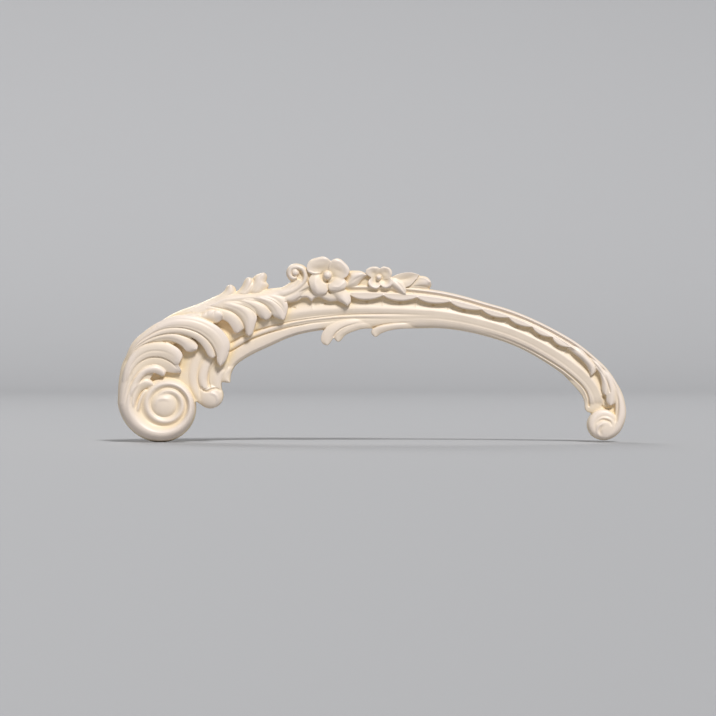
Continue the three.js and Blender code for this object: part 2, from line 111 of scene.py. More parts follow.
# %% [markdown]
# ## Strokes
#
# A loft takes rows of points across the stroke, each with its height off the back, and closes them into a
# solid. A blade is given by its two edge lines and by three heights: at its left edge, on its crest and at
# its right edge. That is enough for a leaf that stands over the next one, for a domed petal and for a
# hollow one, since the crest may also lie lower than the edges.

# %% Lofts, blades, ridges and bosses
ROOT_DEPTH = 8
# A tip droops over the last part of its way. Its edges draw in over a share of its width, and end blunt
DROOP_FROM = 0.72
TIP_ROUND = 0.55
TIP_BLUNT = 0.3
BOSS_SIDES = 48
BOSS_RINGS = 14
strokes = []


def ring_faces(rings, around, first=0):
    """Quads between rings of points that follow one another."""
    faces = []
    for a in range(first, first + (rings - 1) * around, around):
        for j in range(around):
            k = (j + 1) % around
            faces.append((a + j, a + k, a + around + k, a + around + j))
    return faces


def loft(places, heights):
    """A closed solid: places is rows x across x 2 on the sheet, heights is rows x across."""
    rows, across = heights.shape
    front = np.dstack([places, heights])
    first = np.dstack([places[:, :1], np.zeros((rows, 1))])
    last = np.dstack([places[:, -1:], np.zeros((rows, 1))])
    ring = np.concatenate([first, front, last], axis=1)
    around = across + 2
    points = ring.reshape(-1, 3)
    faces = ring_faces(rows, around)
    faces.append(tuple(range(around - 1, -1, -1)))
    faces.append(tuple(range((rows - 1) * around, rows * around)))
    strokes.append((points, faces))


def blade(left, right, heights, crest=0.5, flutes=(), tip=0, root=0, rows=None):
    """A leaf or petal between two edge lines. A flute is (share across, depth, width), tip a droop.
    A root is the share of its way over which it rises from under its surroundings."""
    rows = rows or ALONG
    s = np.linspace(0, 1, rows)
    a, b = spaced(left, rows), spaced(right, rows)
    if tip:
        middle = (a + b) / 2
        length = np.linalg.norm(np.diff(middle, axis=0), axis=1).sum()
        end = max(TIP_ROUND * np.linalg.norm(b[-1] - a[-1]) / length, 2.5 / rows)
        width = TIP_BLUNT + (1 - TIP_BLUNT) * np.sqrt(1 - np.clip((s - 1 + end) / end, 0, 1) ** 2)
        a, b = middle + (a - middle) * width[:, None], middle + (b - middle) * width[:, None]
    t = np.linspace(0, 1, ACROSS)
    places = a[:, None] + (b - a)[:, None] * t[None, :, None]
    low_a, top, low_b = [along(h, s)[:, None] for h in heights]
    near = np.sin(np.clip(t / max(crest, 1e-6), 0, 1) * math.pi / 2)[None]
    far = np.sin(np.clip((1 - t) / max(1 - crest, 1e-6), 0, 1) * math.pi / 2)[None]
    rise = np.where(t[None] < crest, low_a + (top - low_a) * near, low_b + (top - low_b) * far)
    rise = rise - tip * np.clip((s - DROOP_FROM) / (1 - DROOP_FROM), 0, 1)[:, None] ** 2
    if root:
        rise = rise - ROOT_DEPTH * np.clip(1 - s / root, 0, 1)[:, None] ** 2
    for share, depth, width in flutes:
        fade = np.sin(math.pi * np.clip(s * 1.1, 0, 1))[:, None] ** 0.6
        rise = rise - depth * fade * np.exp(-((t - share) / width) ** 2)[None]
    loft(places, rise)


def ridge(points, half_widths, high, low, full=1.4, rows=None):
    """A rounded ridge on a crest line."""
    rows = rows or int(ALONG * 1.8)
    s = np.linspace(0, 1, rows)
    middle = spaced(points, rows)
    heading = np.gradient(middle, axis=0)
    heading /= np.linalg.norm(heading, axis=1)[:, None]
    side = np.column_stack([-heading[:, 1], heading[:, 0]]) * along(half_widths, s)[:, None]
    t = np.linspace(-1, 1, ACROSS)
    places = middle[:, None] + side[:, None] * t[None, :, None]
    low_s, high_s = along(low, s)[:, None], along(high, s)[:, None]
    loft(places, low_s + (high_s - low_s) * (np.clip(1 - t ** 2, 0, 1) ** (1 / full))[None])


def boss(centre, radius, high, low, full=2.0):
    """A round boss with a domed top."""
    turns = np.linspace(0, 2 * math.pi, BOSS_SIDES, endpoint=False)
    reach = np.sin(np.linspace(0, 1, BOSS_RINGS) * math.pi / 2)[::-1]
    points = []
    for r in reach[:-1]:
        height = low + (high - low) * (1 - r ** 2) ** (1 / full)
        points += [(centre[0] + radius * r * math.cos(a), centre[1] + radius * r * math.sin(a), height)
                   for a in turns]
    base = [(centre[0] + radius * math.cos(a), centre[1] + radius * math.sin(a), 0) for a in turns]
    top = len(base) + len(points)
    faces = [tuple(range(BOSS_SIDES - 1, -1, -1))] + ring_faces(BOSS_RINGS, BOSS_SIDES)
    last = top - BOSS_SIDES
    faces += [(last + j, last + (j + 1) % BOSS_SIDES, top) for j in range(BOSS_SIDES)]
    strokes.append((np.array(base + points + [(*centre, high)], float), faces))


# %% [markdown]
# A carver ends with the veiner, a narrow gouge that draws the dark lines between leaves. These cuts are
# kept on a fine relief sheet, which lowers or raises the finished surface under them.

# %% Veiner cuts
CUT_CELL = 0.25
CUT_ORIGIN = (100.0, 240.0)
CUT_CELLS = (2200, 860)
CUT_STEP = 0.3
cuts = np.zeros(CUT_CELLS)
raises = np.zeros_like(cuts)


def vein(points, width, depth, sheet=cuts):
    """A V-shaped line on the relief sheet, with widths and depths along it."""
    way = smooth(points)
    count = max(2, int(np.linalg.norm(np.diff(way, axis=0), axis=1).sum() / CUT_STEP))
    way = spaced(points, count)
    s = np.linspace(0, 1, count)
    for (x, y), w, d in zip(way, along(width, s), along(depth, s)):
        u, v = (x - CUT_ORIGIN[0]) / CUT_CELL, (y - CUT_ORIGIN[1]) / CUT_CELL
        n = int(w / CUT_CELL) + 2
        i, j = int(u) - n, int(v) - n
        gx = (np.arange(i, i + 2 * n + 1) - u)[:, None] * CUT_CELL
        gy = (np.arange(j, j + 2 * n + 1) - v)[None] * CUT_CELL
        mark = d * np.clip(1 - np.hypot(gx, gy) / w, 0, 1) ** 1.2
        part = sheet[i:i + 2 * n + 1, j:j + 2 * n + 1]
        np.maximum(part, mark, out=part)


def dimple(x, y, width, depth):
    vein([(x - CUT_STEP, y), (x + CUT_STEP, y)], width, depth)


def bead(points, width, height):
    vein(points, width, height, raises)


print("relief sheet of", CUT_CELLS, "cells")

# %% [markdown]
# ## The rail
#
# The arch is a run moulding: one section drawn along a curve. Its members keep their share of the width,
# so the section is written once and the two edges are drawn. At the left a bead lies between two quirks;
# towards the right it melts into a slope. Under the lip hangs a row of waves, each with a small drilled
# dimple below it, and faint cuts divide the recess.

# %% The rail and its waves
RAIL_INNER = [
    [231, 374], [236, 365], [250, 355.5], [270, 346], [290, 337.2], [310, 331.9], [335, 328.7],
    [360, 327.9], [385, 327.9], [410, 327.9], [432, 327.8], [452, 329.3], [472, 332.7], [490, 337.3],
    [508, 343.1], [525, 350.5], [541, 359.5], [556, 369.1], [570, 380], [579, 389.3],
    [584.2, 399], [586, 409]]
RAIL_OUTER = [
    [190, 330], [200, 317], [219, 302], [248, 292], [275, 288], [300, 286.3], [330, 285.2], [360, 284.5],
    [388, 285.3], [415, 287.4], [440, 290.8], [463, 295.9], [487, 302.9], [507, 308.7], [526, 315.9],
    [544, 324.2], [561, 333.1], [578, 343.6], [594, 356.3], [608, 370], [618.5, 386.5], [625, 407]]
EDGE, RECESS, BEAD, RIDGE, ROLL, LIP = 8, 10, 12, 14, 16, 16.5
# Members: share of the width, the level they stand on, height over it at the left and at the right end
MEMBERS = [
    (0, EDGE, -2, -2), (0.012, EDGE, 0.8, 0), (0.05, RECESS, 0.8, 0), (0.1, RECESS, 1.3, 1),
    (0.15, RECESS, 1.4, 1.7), (0.19, RECESS, 1.3, 2), (0.215, RECESS, 0.8, 2.2), (0.235, RECESS, 1.6, 2),
    (0.265, RECESS, 2.2, 2.1), (0.295, RECESS, 1.8, 2.4), (0.315, RECESS, 1.1, 2.5),
    (0.34, RECESS, 1.4, 2.6), (0.39, RECESS, 2.2, 2.9), (0.44, RIDGE, -1.4, -0.8),
    (0.475, RIDGE, -1.7, -1.2), (0.52, RECESS, 1.6, 1.9), (0.58, RECESS, 0.8, 1),
    (0.66, RECESS, 0.3, 0.4), (0.73, RECESS, 1, 1), (0.748, LIP, -2, -2),
    (0.77, LIP, -0.4, -0.4), (0.8, LIP, 0, 0), (0.825, LIP, -0.9, -0.9), (0.845, RECESS, 4, 3.8),
    (0.865, RECESS, 4.2, 4.2), (0.882, RECESS, 4, 3.8), (0.905, ROLL, -1, -1), (0.935, ROLL, 0, 0),
    (0.965, ROLL, -0.9, -0.9), (0.99, ROLL, -3.5, -3.5), (1, EDGE, 0, 0)]
# Between these shares of the way the left section fades into the right one
FADE = (0.28, 0.5)
# The rail sinks under the tail over the last part of its way
SINK_FROM, SINK = 0.955, 5
# The waves' cusps, counted in spans of the drawn edges
CUSPS = [6.65, 7.85, 9.13, 10.53, 11.93, 13.3, 14.57, 15.74, 16.76]
SPANS = len(RAIL_INNER) - 1
# Shares of the rail's width: the waves' root, their cusps, how far they hang below those, and the dimples
WAVE_ROOT, WAVE_CUSP, WAVE_DROP, DIMPLES = 0.8, 0.765, 0.125, 0.605
# A wave's section: place from its edge (0) to its root, and height over the lip
WAVE_SECTION = [(0.8, -0.4), (0.74, -0.2), (0.5, -0.2), (0.3, -0.1), (0.15, 0), (0.05, -0.8), (0, -2.4)]


def rail_at(s, across):
    """Points on the rail at shares s of its way and a share of its width."""
    inner, outer = smooth(RAIL_INNER), smooth(RAIL_OUTER)
    steps = np.linspace(0, 1, len(inner))
    a = np.column_stack([np.interp(s, steps, inner[:, k]) for k in (0, 1)])
    b = np.column_stack([np.interp(s, steps, outer[:, k]) for k in (0, 1)])
    share = np.broadcast_to(np.asarray(across, float), (len(a),))[:, None]
    return a + (b - a) * share


def rail():
    rows = ALONG * 5
    s = np.linspace(0, 1, rows)
    x = np.clip((s - FADE[0]) / (FADE[1] - FADE[0]), 0, 1)
    fade = (x * x * (3 - 2 * x))[:, None]
    shares, level, left, right = np.array(MEMBERS).T
    places = np.stack([rail_at(s, share) for share in shares], axis=1)
    heights = (level + left)[None] * (1 - fade) + (level + right)[None] * fade
    heights = heights - SINK * np.clip((s - SINK_FROM) / (1 - SINK_FROM), 0, 1)[:, None] ** 2
    loft(places, np.maximum(heights, EDGE - 3))


def waves():
    """Waves that hang from the lip, cusp to cusp, each with its dimple."""
    steps = max(10, ALONG // 3)
    t = np.concatenate([np.linspace(0, 1, steps, endpoint=False) for _ in CUSPS[1:]] + [[0.0]])
    span = np.concatenate([np.repeat(np.arange(len(CUSPS) - 1), steps), [len(CUSPS) - 1]])
    ends = np.array(CUSPS + [CUSPS[-1]])
    s = (ends[span] + (ends[np.minimum(span + 1, len(CUSPS))] - ends[span]) * t) / SPANS
    edge = WAVE_CUSP - WAVE_DROP * np.sin(math.pi * t ** 0.9) ** 0.7
    shares, rise = np.array(WAVE_SECTION).T
    places = np.stack([rail_at(s, edge + (WAVE_ROOT - edge) * q / WAVE_ROOT) for q in shares], axis=1)
    loft(places, np.tile(LIP + rise, (len(s), 1)))
    for a, b in zip(CUSPS, CUSPS[1:]):
        dimple(*rail_at((a + b) / 2 / SPANS, DIMPLES)[0], 1.5, 1.6)
        bead([rail_at(b / SPANS, share)[0] for share in (0.75, 0.69, 0.6, 0.52)], [1.5, 1.3, 1.1],
             [1.6, 0.9, 0.2])
    # Left of the flower the lip is cut the other way, in rising arcs
    blade([[282, 292], [300, 291], [320, 289.5], [345, 288.5]],
          [[282, 303.6], [292, 302.5], [298, 300.5], [303, 297.8], [308, 298.3], [311.5, 301.5], [314, 299],
           [319, 297.3], [324, 299.5], [330, 301.5], [337, 301], [345, 299.6]],
          (LIP - 1, LIP, LIP - 1.8), crest=0.7, rows=ALONG * 2)
    bead([(311.8, 302), (312, 305), (312.5, 309)], [1.4, 1.2], [0.9, 0.2])
    dimple(294.5, 308, 1.5, 1.4)
    dimple(325.5, 303.6, 1.6, 1.6)


def rail_veins():
    vein([(231, 343), (238, 338.6), (244, 335.6)], 1.2, 2)
    vein([(254.4, 331.4), (262, 329), (270, 326.9), (280, 324.4), (290, 321.9), (300, 320.2), (310, 318.8),
          (330, 316.5), (350, 315), (390, 314.2), (430, 315)], 1.2, [2.0, 1.8, 1.2, 0.6, 0])
    vein([(229.5, 352), (240, 346), (250, 340), (260, 335.8), (270, 332.5), (280, 330), (290, 327.3),
          (300, 325.4), (310, 323.5), (320, 322.3), (345, 320)], 1.3, [2.2, 2.1, 1.6, 0])
    vein([(480, 331.2), (500, 337.2), (520, 345), (540, 355.2), (560, 367.4), (570, 375), (580, 384),
          (585.4, 391), (588, 398), (589, 406)], 1.4, [0, 0.8, 1.6, 2.0, 2.0])
    vein([(452, 297.4), (480, 306.4), (510, 315.6), (535, 326.6), (555, 337.4), (575, 351)], 0.9,
         [0, 0.7, 0.9, 0.9, 0])


rail()
waves()
rail_veins()
print("the rail has", len(MEMBERS), "members and", len(CUSPS) - 1, "waves")

# %% [markdown]
# ## The big leaf
#
# An acanthus leaf wraps the left end. Its fibres rise together along the outer edge and fan out into
# fingers, which sweep over and curl down at their tips. Each upper finger lies over the next one: its lower
# edge stands proud, and the next emerges from under it. That overlap is the dark line between them.

# %% The leaf's back and fingers
STEM = 19


def leaf_back():
    """The leaf's body, inside the roll along its outer edge, and the stem that runs on from it."""
    blade([[133, 398], [136, 380], [142, 362], [152, 347], [174, 327], [200, 311], [226, 299], [250, 295]],
          [[141, 400], [146, 388], [155, 372], [164, 359], [174, 345], [188, 334], [208, 325], [232, 312]],
          ([18, 19, 20, 19.5, 18], [19, 20.5, 21.5, 21.5, 19.5, STEM], [17, 18.5, 19, 18.5, 17.5, 17]),
          crest=0.4, root=0.12, rows=ALONG * 2)
    blade([[190, 309], [205, 302.6], [224, 293.4], [248, 292], [268, 290.8], [282, 287.3], [291, 281.8]],
          [[196, 326], [212, 321], [230, 312], [254, 305], [274, 302], [288, 298], [299, 290]],
          ([12, 12.5, 13], [STEM - 0.4, STEM, STEM, STEM - 0.5, STEM - 1.5], [17.5, 17, 16.5, 15]),
          crest=0.42, root=0.15, rows=ALONG * 2)
    blade([[190, 310], [222, 302], [250, 297], [275, 296.5], [286, 298]],
          [[200, 322], [224, 319.8], [240, 321], [254, 316.5], [268, 313.5], [284, 308]],
          (17, 17.2, 16.2), root=0.15)
    boss((180, 353), 17, 13.5, 12.5)
    boss((193, 343), 10, 15, 14.4)


def fingers():
    # The two small lobes beside the scroll
    blade([[133, 420], [131.5, 404], [134, 390], [139.3, 381], [147, 378], [152.5, 380.6], [154.5, 384.3]],
          [[136, 418], [137.5, 402], [141.5, 392], [146.5, 388.3], [151, 387.4], [154, 386.2]],
          ([20.5, 20.5, 19.5, 18.5], [22, 22.2, 21.5, 20.6], [18, 18.5, 18.8, 18.5]), crest=0.4, tip=1.6,
          root=0.34)
    blade([[135, 420], [138, 404], [141.5, 394.5], [145.6, 389.4], [149.3, 390]],
          [[139.5, 418], [141.5, 406], [144.2, 399], [146.8, 395.3], [149.8, 392.3]],
          ([19, 19, 18.4], [20.6, 20.6, 19.6], [18, 18, 17.8]), crest=0.4, tip=1.2, root=0.36)
    boss((141.5, 395), 8, 17.6, 16.6)
    # A scoop that faces down, and the finger in front of it
    blade([[126, 404], [130, 381], [139, 362], [152, 354.5], [163, 355], [172.5, 359], [179, 365],
           [181.8, 370.3]],
          [[131, 406], [136, 387], [144, 373], [154, 369.5], [164, 371.2], [173, 372.8], [181.3, 372.8]],
          ([20.5, 21.6, 22, 21.5], [21.5, 22.2, 21.6, 20.4], [20, 20.5, 18.8, 18.4]), crest=0.3, root=0.35)
    blade([[126, 408], [131, 386], [141, 370], [153, 365], [161.5, 366.3], [166.5, 370.4], [166.3, 374]],
          [[130.5, 410], [136, 392], [142.5, 379], [148, 373.8], [155, 373], [160, 374.8], [163.6, 376.6]],
          ([21, 21.5, 21.5, 20], [22, 23, 23.4, 22.6], [20.6, 21.4, 21.6, 21]), crest=0.45, tip=1.5,
          root=0.3)
    blade([[122, 398], [123, 378], [129.6, 358.5], [139.6, 346.8], [152, 341.8], [166, 342.3], [176, 346.4],
           [181.6, 351.4], [183.4, 356.4], [181.8, 360]],
          [[127, 402], [129, 382], [137, 366.5], [148, 358.4], [160, 357.2], [169, 360], [175.5, 364],
           [179.6, 364.6]],
          ([19, 21.2, 22.6, 23, 22], [21, 22.6, 24, 24.4, 23.2], [20.4, 22.2, 22.8, 22.6, 21.4]),
          crest=0.36, flutes=[(0.6, 0.6, 0.06)], root=0.35)
    blade([[124.5, 372], [134, 349], [148, 337.5], [163, 332], [176, 331.5], [187.6, 335.6], [196, 341.3],
           [199.8, 347]],
          [[128, 376], [139, 353.5], [152, 344.4], [165, 341], [175, 342.3], [182, 346], [187.5, 351.4],
           [195.3, 351.8]],
          ([20, 22, 22.4, 22.6, 21.6], [21, 23.2, 24.4, 24.7, 23.4], [19, 22, 22.6, 22.4, 21.4]),
          flutes=[(0.76, 0.4, 0.07)], tip=1.6, root=0.35)
    blade([[122.5, 372], [133, 346.5], [147, 333.5], [163, 325.6], [181, 324.6], [198, 328], [210.5, 336],
           [217.3, 346.5], [218.3, 357]],
          [[126, 376], [138, 350], [152, 340.5], [165, 335.2], [180, 334], [192, 337.3], [200, 342.5],
           [205.7, 350], [209.6, 358.6]],
          ([19.6, 21.8, 23, 23.4, 23.2, 22], [21, 23.4, 25, 25.7, 25.3, 23.5],
           [20, 23, 24, 24.3, 23.8, 22.3]), crest=0.62, tip=1.6, root=0.35)
    blade([[121.5, 370], [132, 344.5], [146, 331], [160, 322], [177, 315.8], [196, 316.6], [212, 322.6],
           [223.3, 331], [230, 342], [229.4, 352], [226, 361], [222.7, 365.7]],
          [[125, 374], [137, 348], [151, 336.5], [164, 330.4], [180, 328.6], [195, 331.7], [206.2, 338.2],
           [213, 346], [216.8, 354.5], [217.6, 361.5], [219.3, 366]],
          ([19, 21, 22.4, 23.4, 24, 23, 21], [20.4, 23, 25, 26.2, 26.6, 25.6, 24],
           [20, 23, 24.8, 25.6, 25.6, 24.6, 22.4]), crest=0.58, flutes=[(0.3, 0.4, 0.05), (0.8, 0.4, 0.05)],
          tip=2, root=0.3)
    # The curled lobes above
    blade([[170, 322], [185, 315], [197, 313.6], [203, 314.2], [208.5, 311], [215, 310.4], [220.5, 311.4],
           [223, 314.6]],
          [[176, 325], [190, 320], [202, 321.6], [210, 322.6], [217, 323], [221.6, 320.5], [223, 318]],
          ([20, 20.6, 21, 21.6, 21.5], [21, 22, 22.4, 22.8, 22.4], [20, 20.4, 20.2, 19.6, 19.4]), crest=0.3,
          root=0.4)
    # Fingers under the stem
    blade([[204, 304], [222, 307], [233, 310.6], [241, 316.4], [245, 322.5], [244.6, 328], [241.3, 332]],
          [[210, 316], [221, 319], [227.5, 322], [231.7, 327], [235, 333.8]],
          ([18, 18.4, 18.6, 18], [18.6, 20, 20.4, 19.5], [17.6, 18.4, 18.6, 18]), tip=1.4, root=0.3)
    blade([[206, 303], [224, 309], [233, 312.2], [240, 317.8], [244, 325], [245.2, 331], [246, 335.6]],
          [[214, 299], [234, 300.6], [247, 304.5], [254, 310], [257.3, 317.5], [255.4, 325], [253.8, 331],
           [252.2, 336]],
          ([18, 18.6, 19, 18.4], [18.6, 20.8, 21.8, 21], [18, 19, 19.6, 19]),
          flutes=[(0.36, 0.4, 0.08), (0.8, 0.5, 0.07)], tip=1.8, root=0.35)
    blade([[228, 302.5], [244, 306.4], [253, 311], [257.6, 315.5], [262.6, 319.4]],
          [[232, 297], [250, 298.5], [264, 303.5], [271, 309.5], [271.8, 315], [269.5, 320]],
          ([18, 18.4, 18.2, 17.8], [18.4, 20.2, 20.8, 20], [18, 18.8, 19, 18.2]), crest=0.48, tip=1.4,
          root=0.35)
    blade([[240, 299.4], [256, 301.6], [265.5, 305.8], [270.6, 311.5], [274, 316.4], [281, 319.8]],
          [[244, 295], [263, 295.4], [276.5, 299], [284, 306.5], [286, 314], [285.2, 320]],
          ([18, 18.4, 18.4, 17.8], [18.4, 20.4, 21, 20], [18, 18.8, 19, 18]),
          flutes=[(0.3, 0.4, 0.08)], tip=1.2, root=0.35)
    blade([[254, 297.6], [270, 300.6], [279, 306], [284, 312.3], [285, 317]],
          [[258, 293.4], [275, 294.4], [284.4, 298], [287.6, 303.8], [288, 309], [286.2, 316]],
          ([18, 18, 18, 17.4], [18.4, 19.4, 19.6, 18.4], [18, 18.2, 18.2, 17.4]), root=0.35)


def spikes():
    """Leaf tips that stand up from the back of the stem."""
    rise = (12, [STEM - 1.5, STEM - 2, 15.4], [13, 12.5, 12])
    blade([[205, 301.5], [216, 296.5], [224, 291.2], [226.8, 286.6], [228.8, 284.4]],
          [[215, 308], [228, 301], [235.6, 295], [236, 291], [235, 287.6], [233, 285]],
          rise, tip=1, root=0.3)
    blade([[230, 293.5], [237.5, 291], [241.6, 286.6], [244.6, 280.4], [247.6, 277.2]],
          [[246, 300], [254, 294], [256.4, 286], [253.6, 280], [251, 277.4]], rise, tip=1, root=0.3)
    blade([[240, 298], [247, 289], [252.3, 279], [256.5, 275], [262.4, 272.6]],
          [[264, 300], [266, 291], [268.6, 285.1], [266.2, 281.5], [267, 276.4], [265.4, 272.8]],
          rise, tip=1, root=0.3)
    vein([(266.8, 281.6), (263.5, 282.6)], 1.2, [1.4, 0.3])
    vein([(240, 296), (247, 290), (251.6, 283.6), (254, 280)], 1.6, [0.3, 0.8, 1])
    vein([(246, 297), (254, 292), (259, 285), (261, 278)], 2.4, [0.1, 0.6, 0.2])
    vein([(220, 299), (227, 294.5), (230.6, 289)], 2, [0.1, 0.6, 0.2])


def leaf_veins():
    vein([(120.5, 390), (123, 372), (130, 357.5), (140, 347.6), (152, 342.6), (166, 342.4)], 1.2,
         [0.3, 0.9, 1, 1.2])
    vein([(122, 370), (135, 348), (150, 336), (165, 329.3), (181, 328.1), (196, 331.8), (207, 338.8),
          (213.6, 347), (217, 356.5)], 1.2, [0.3, 0.8, 1.0, 1.2, 1.2])
    vein([(120, 378), (130, 355), (140, 345.6), (152, 338.6), (164, 334.9), (176, 333.9), (188, 336.8)],
         1.1, [0.3, 0.8, 0.9, 0.9])
    vein([(121, 370), (134, 344.6), (148, 331), (162, 321.6), (178, 315), (192, 312.5)], 1.2,
         [0.4, 0.7, 0.7])
    vein([(118.6, 398), (120.4, 384), (125, 366), (133, 350.5), (146, 337), (158, 327)], 1.1,
         [0.2, 0.6, 0.6, 0.4])
    vein([(120.6, 374), (128, 354), (140, 339.5), (156, 327), (172, 317.6), (200, 305), (222, 296.6)], 1.1,
         [0.2, 0.6, 0.6, 0.2])
    vein([(124, 396), (129, 380), (137, 366), (148, 358.4), (160, 357.4), (170, 361.2), (177, 367.5)], 1.2,
         [0.3, 0.8, 0.9, 0.5])
    vein([(126, 404), (131, 386), (140, 371.6), (152, 365.4)], 1.2, [0.3, 0.9, 0.4])
    vein([(206, 305.5), (223, 309.2), (232, 312.2), (239.5, 317.8), (244, 325.3), (245.4, 332)], 1.2,
         [0.4, 1, 1.3])
    vein([(232, 303.2), (246, 307), (253, 311), (257.6, 316)], 1.1, [0.4, 0.9, 1.2])
    vein([(246, 300.2), (258, 302), (265.5, 305.7), (271, 311.8)], 1.1, [0.4, 0.9, 1.2])
    vein([(232, 301), (246, 303), (256, 309)], 1, [0.2, 0.5, 0.4])
    vein([(262, 297.5), (272, 300.5), (280, 306.5), (284.5, 313)], 1, [0.2, 0.6, 0.4])
    vein([(205, 304.5), (225, 298.5), (250, 296), (275, 294.5)], 1.4, [0.1, 0.4, 0.1])
    for line in ([(203, 313), (201, 317.5)], [(208.6, 310), (206.6, 316)],
                 [(215.4, 309.8), (213.6, 316.5)]):
        vein(line, 1.8, [0.1, 0.7, 0.1])


leaf_back()
fingers()
spikes()
leaf_veins()
print("strokes so far:", len(strokes))

# %% [markdown]
# ## The scrolls
#
# Each scroll is a roll that winds in on itself and ends in a button. The big one is worked out from its
# radii at quarter turns, as a carver sets it out with dividers from the eye; the small ones are drawn
# along their crests.

# %% The big scroll, the small one beside it and the stem's
EYE = (167, 403)
LEAF_OUTER = [(240, 293), (224, 293), (200, 303.2), (170, 315.3), (140, 338.3), (124, 360), (119, 380)]
LEAF_CREST = [(242, 299), (226, 302), (204, 311.5), (174, 325), (149, 345), (136.5, 365), (131, 384)]
LEAF_INNER = [(246, 305), (230, 310), (208, 319), (182, 336), (162, 354), (148, 374), (141.5, 389)]
LEAF_HIGH = [14, 18.6, 19.6, 20.6, 21.2, 21.6]
LEAF_BED = [12, 16, 17.6, 18, 18, 17.6]
COIL_OUTER = [49.3, 38.6, 28.6, 25.5, 26, 23, 20, 16, 13]
COIL_CREST = [38, 29.5, 23.8, 19.2, 19.4, 18.4, 16, 12, 8]
COIL_INNER = [27, 23, 19.8, 14.6, 14.4, 13.2, 11.4, 6, 2]
COIL_HIGH = [22.5, 23.4, 22.8, 21, 20.6, 20.8, 21, 21, 20.4]
COIL_RIM = [9, 9, 9, 14.5, 17.4, 18, 18.2, 18.2, 18.2]
COIL_BED = [17.4, 18, 18, 18, 18, 18.3, 18.6, 19.2, 20]
# Between these shares of the coil its outer flank turns from a full round into a soft wave
WAVE_FROM, WAVE_OVER = 0.26, 0.18


def big_scroll():
    """One roll: it starts as the leaf's outer edge and winds in to the eye."""
    s = np.linspace(0, 1, ALONG * 4)
    angle = math.pi * (1 + s * (len(COIL_CREST) - 1) / 2)
    turn = np.column_stack([np.cos(angle), -np.sin(angle)])

    def line(before, radii):
        """A line along the leaf and on round the eye."""
        leaf = spaced(before + [(EYE[0] - radii[0], EYE[1])], ALONG * 2)[:-1]
        return np.vstack([leaf, EYE + turn * along(radii, s)[:, None]])

    outer = line(LEAF_OUTER, COIL_OUTER)
    crest = line(LEAF_CREST, COIL_CREST)
    inner = line(LEAF_INNER, COIL_INNER)
    lead = np.linspace(0, 1, ALONG * 2)[:-1]
    high, rim, bed = [
        np.concatenate([along(before + coil[:1], lead), along(coil, s)])[:, None]
        for before, coil in ((LEAF_HIGH, COIL_HIGH), ([9], COIL_RIM), (LEAF_BED, COIL_BED))]
    t = np.linspace(0, 1, ACROSS * 2 - 1)
    out = t < 0.5
    q = np.where(out, 2 * t, 2 * t - 1)
    places = np.where(out[None, :, None], outer[:, None] + (crest - outer)[:, None] * q[None, :, None],
                      crest[:, None] + (inner - crest)[:, None] * q[None, :, None])
    roll = (np.clip(1 - (1 - q) ** 2, 0, 1) ** 0.55)[None]
    wave = (0.5 - 0.5 * np.cos(q * math.pi))[None]
    turned = np.concatenate([lead * 0, np.clip((s - WAVE_FROM) / WAVE_OVER, 0, 1)])[:, None]
    up = roll * (1 - turned) + wave * turned
    fall = 0.6 * wave + 0.4 * q[None] ** 1.5
    heights = np.where(out[None], rim + (high - rim) * up, bed + (high - bed) * (1 - fall))
    loft(places, heights)
    boss((157.5, 403), 36.5, 13.5, 12.5)
    boss((176, 390), 20, 13, 12)
    boss((167.4, 402.6), 20, 18.1, 17.8)
    boss((164.6, 403.8), 13.6, 22, 17.6, full=1.7)
    bead([(156.6, 404), (159, 399.8), (164.4, 398.4), (171, 399.6)], 3, [0.5, 0.9, 0.9, 0.2])
    bead([(133, 418), (129.6, 408), (130.4, 397), (136, 387.4), (146, 381)], 2.4, [0.1, 0.5, 0.7, 0.3])


def small_scroll():
    blade([[150, 350], [155, 366], [164, 380], [176, 391], [186, 398], [195.6, 402]],
          [[205, 335], [222, 350], [228, 362], [226, 372], [221.5, 382], [222, 392]],
          (14, 14.4, 12.6))
    boss((210.4, 395.5), 12.9, RIDGE + 3, EDGE + 3, full=1.8)
    ridge([[206, 344], [197.5, 360], [193.8, 374], [195, 388], [199.6, 397.6], [206, 402.4]],
          [6, 6.2, 6, 5.4, 5, 4], [15, 15.6, 15.8, 15.8, 15.6, 13.6],
          [RECESS + 4, RECESS + 4, RECESS + 3.6, RECESS + 2], full=1.3)
    ridge([[219, 348], [210, 360], [204.6, 370], [203, 380], [205.4, 388.4]],
          [6, 6.2, 6, 5.4, 4], [15.4, 16.4, 16.8, 16.8, 16.4], RECESS + 4, full=1.3)
    blade([[215, 360], [210.6, 372], [209.6, 380], [212, 389]],
          [[231, 358], [228.6, 368], [222.4, 379], [220.4, 389]],
          (13.6, [13.4, 14, 14.6, 14.4], [11.2, 12, 13, 13]), crest=0.65, root=0.5)
    blade([[222, 356], [220, 368], [220, 380.8], [224, 382.2], [229.9, 382.8]],
          [[240, 356], [232.6, 369], [230.8, 375], [230.3, 379], [230.1, 382.4]],
          ([RECESS, BEAD, RECESS], [RECESS + 1, BEAD + 1, RECESS + 2], [EDGE + 1, RECESS, EDGE + 1]),
          root=0.6)
    vein([(202, 387.5), (204.2, 390.6), (208, 391.2), (212, 389.3), (217, 388.8), (220.3, 390.6)], 1.7,
         [1, 2.4, 1.9, 1])
    vein([(215, 357), (210, 369), (208.6, 379), (210, 387)], 1.5, [0.5, 1.5, 1.5])
    vein([(203, 356), (198.8, 370), (198, 381), (200.6, 389)], 1.3, [0.2, 0.8, 0.8])
    bead([(216.8, 404), (218, 399.5), (216.2, 395), (211.5, 393)], 2.4, [0.4, 0.9, 0.5])


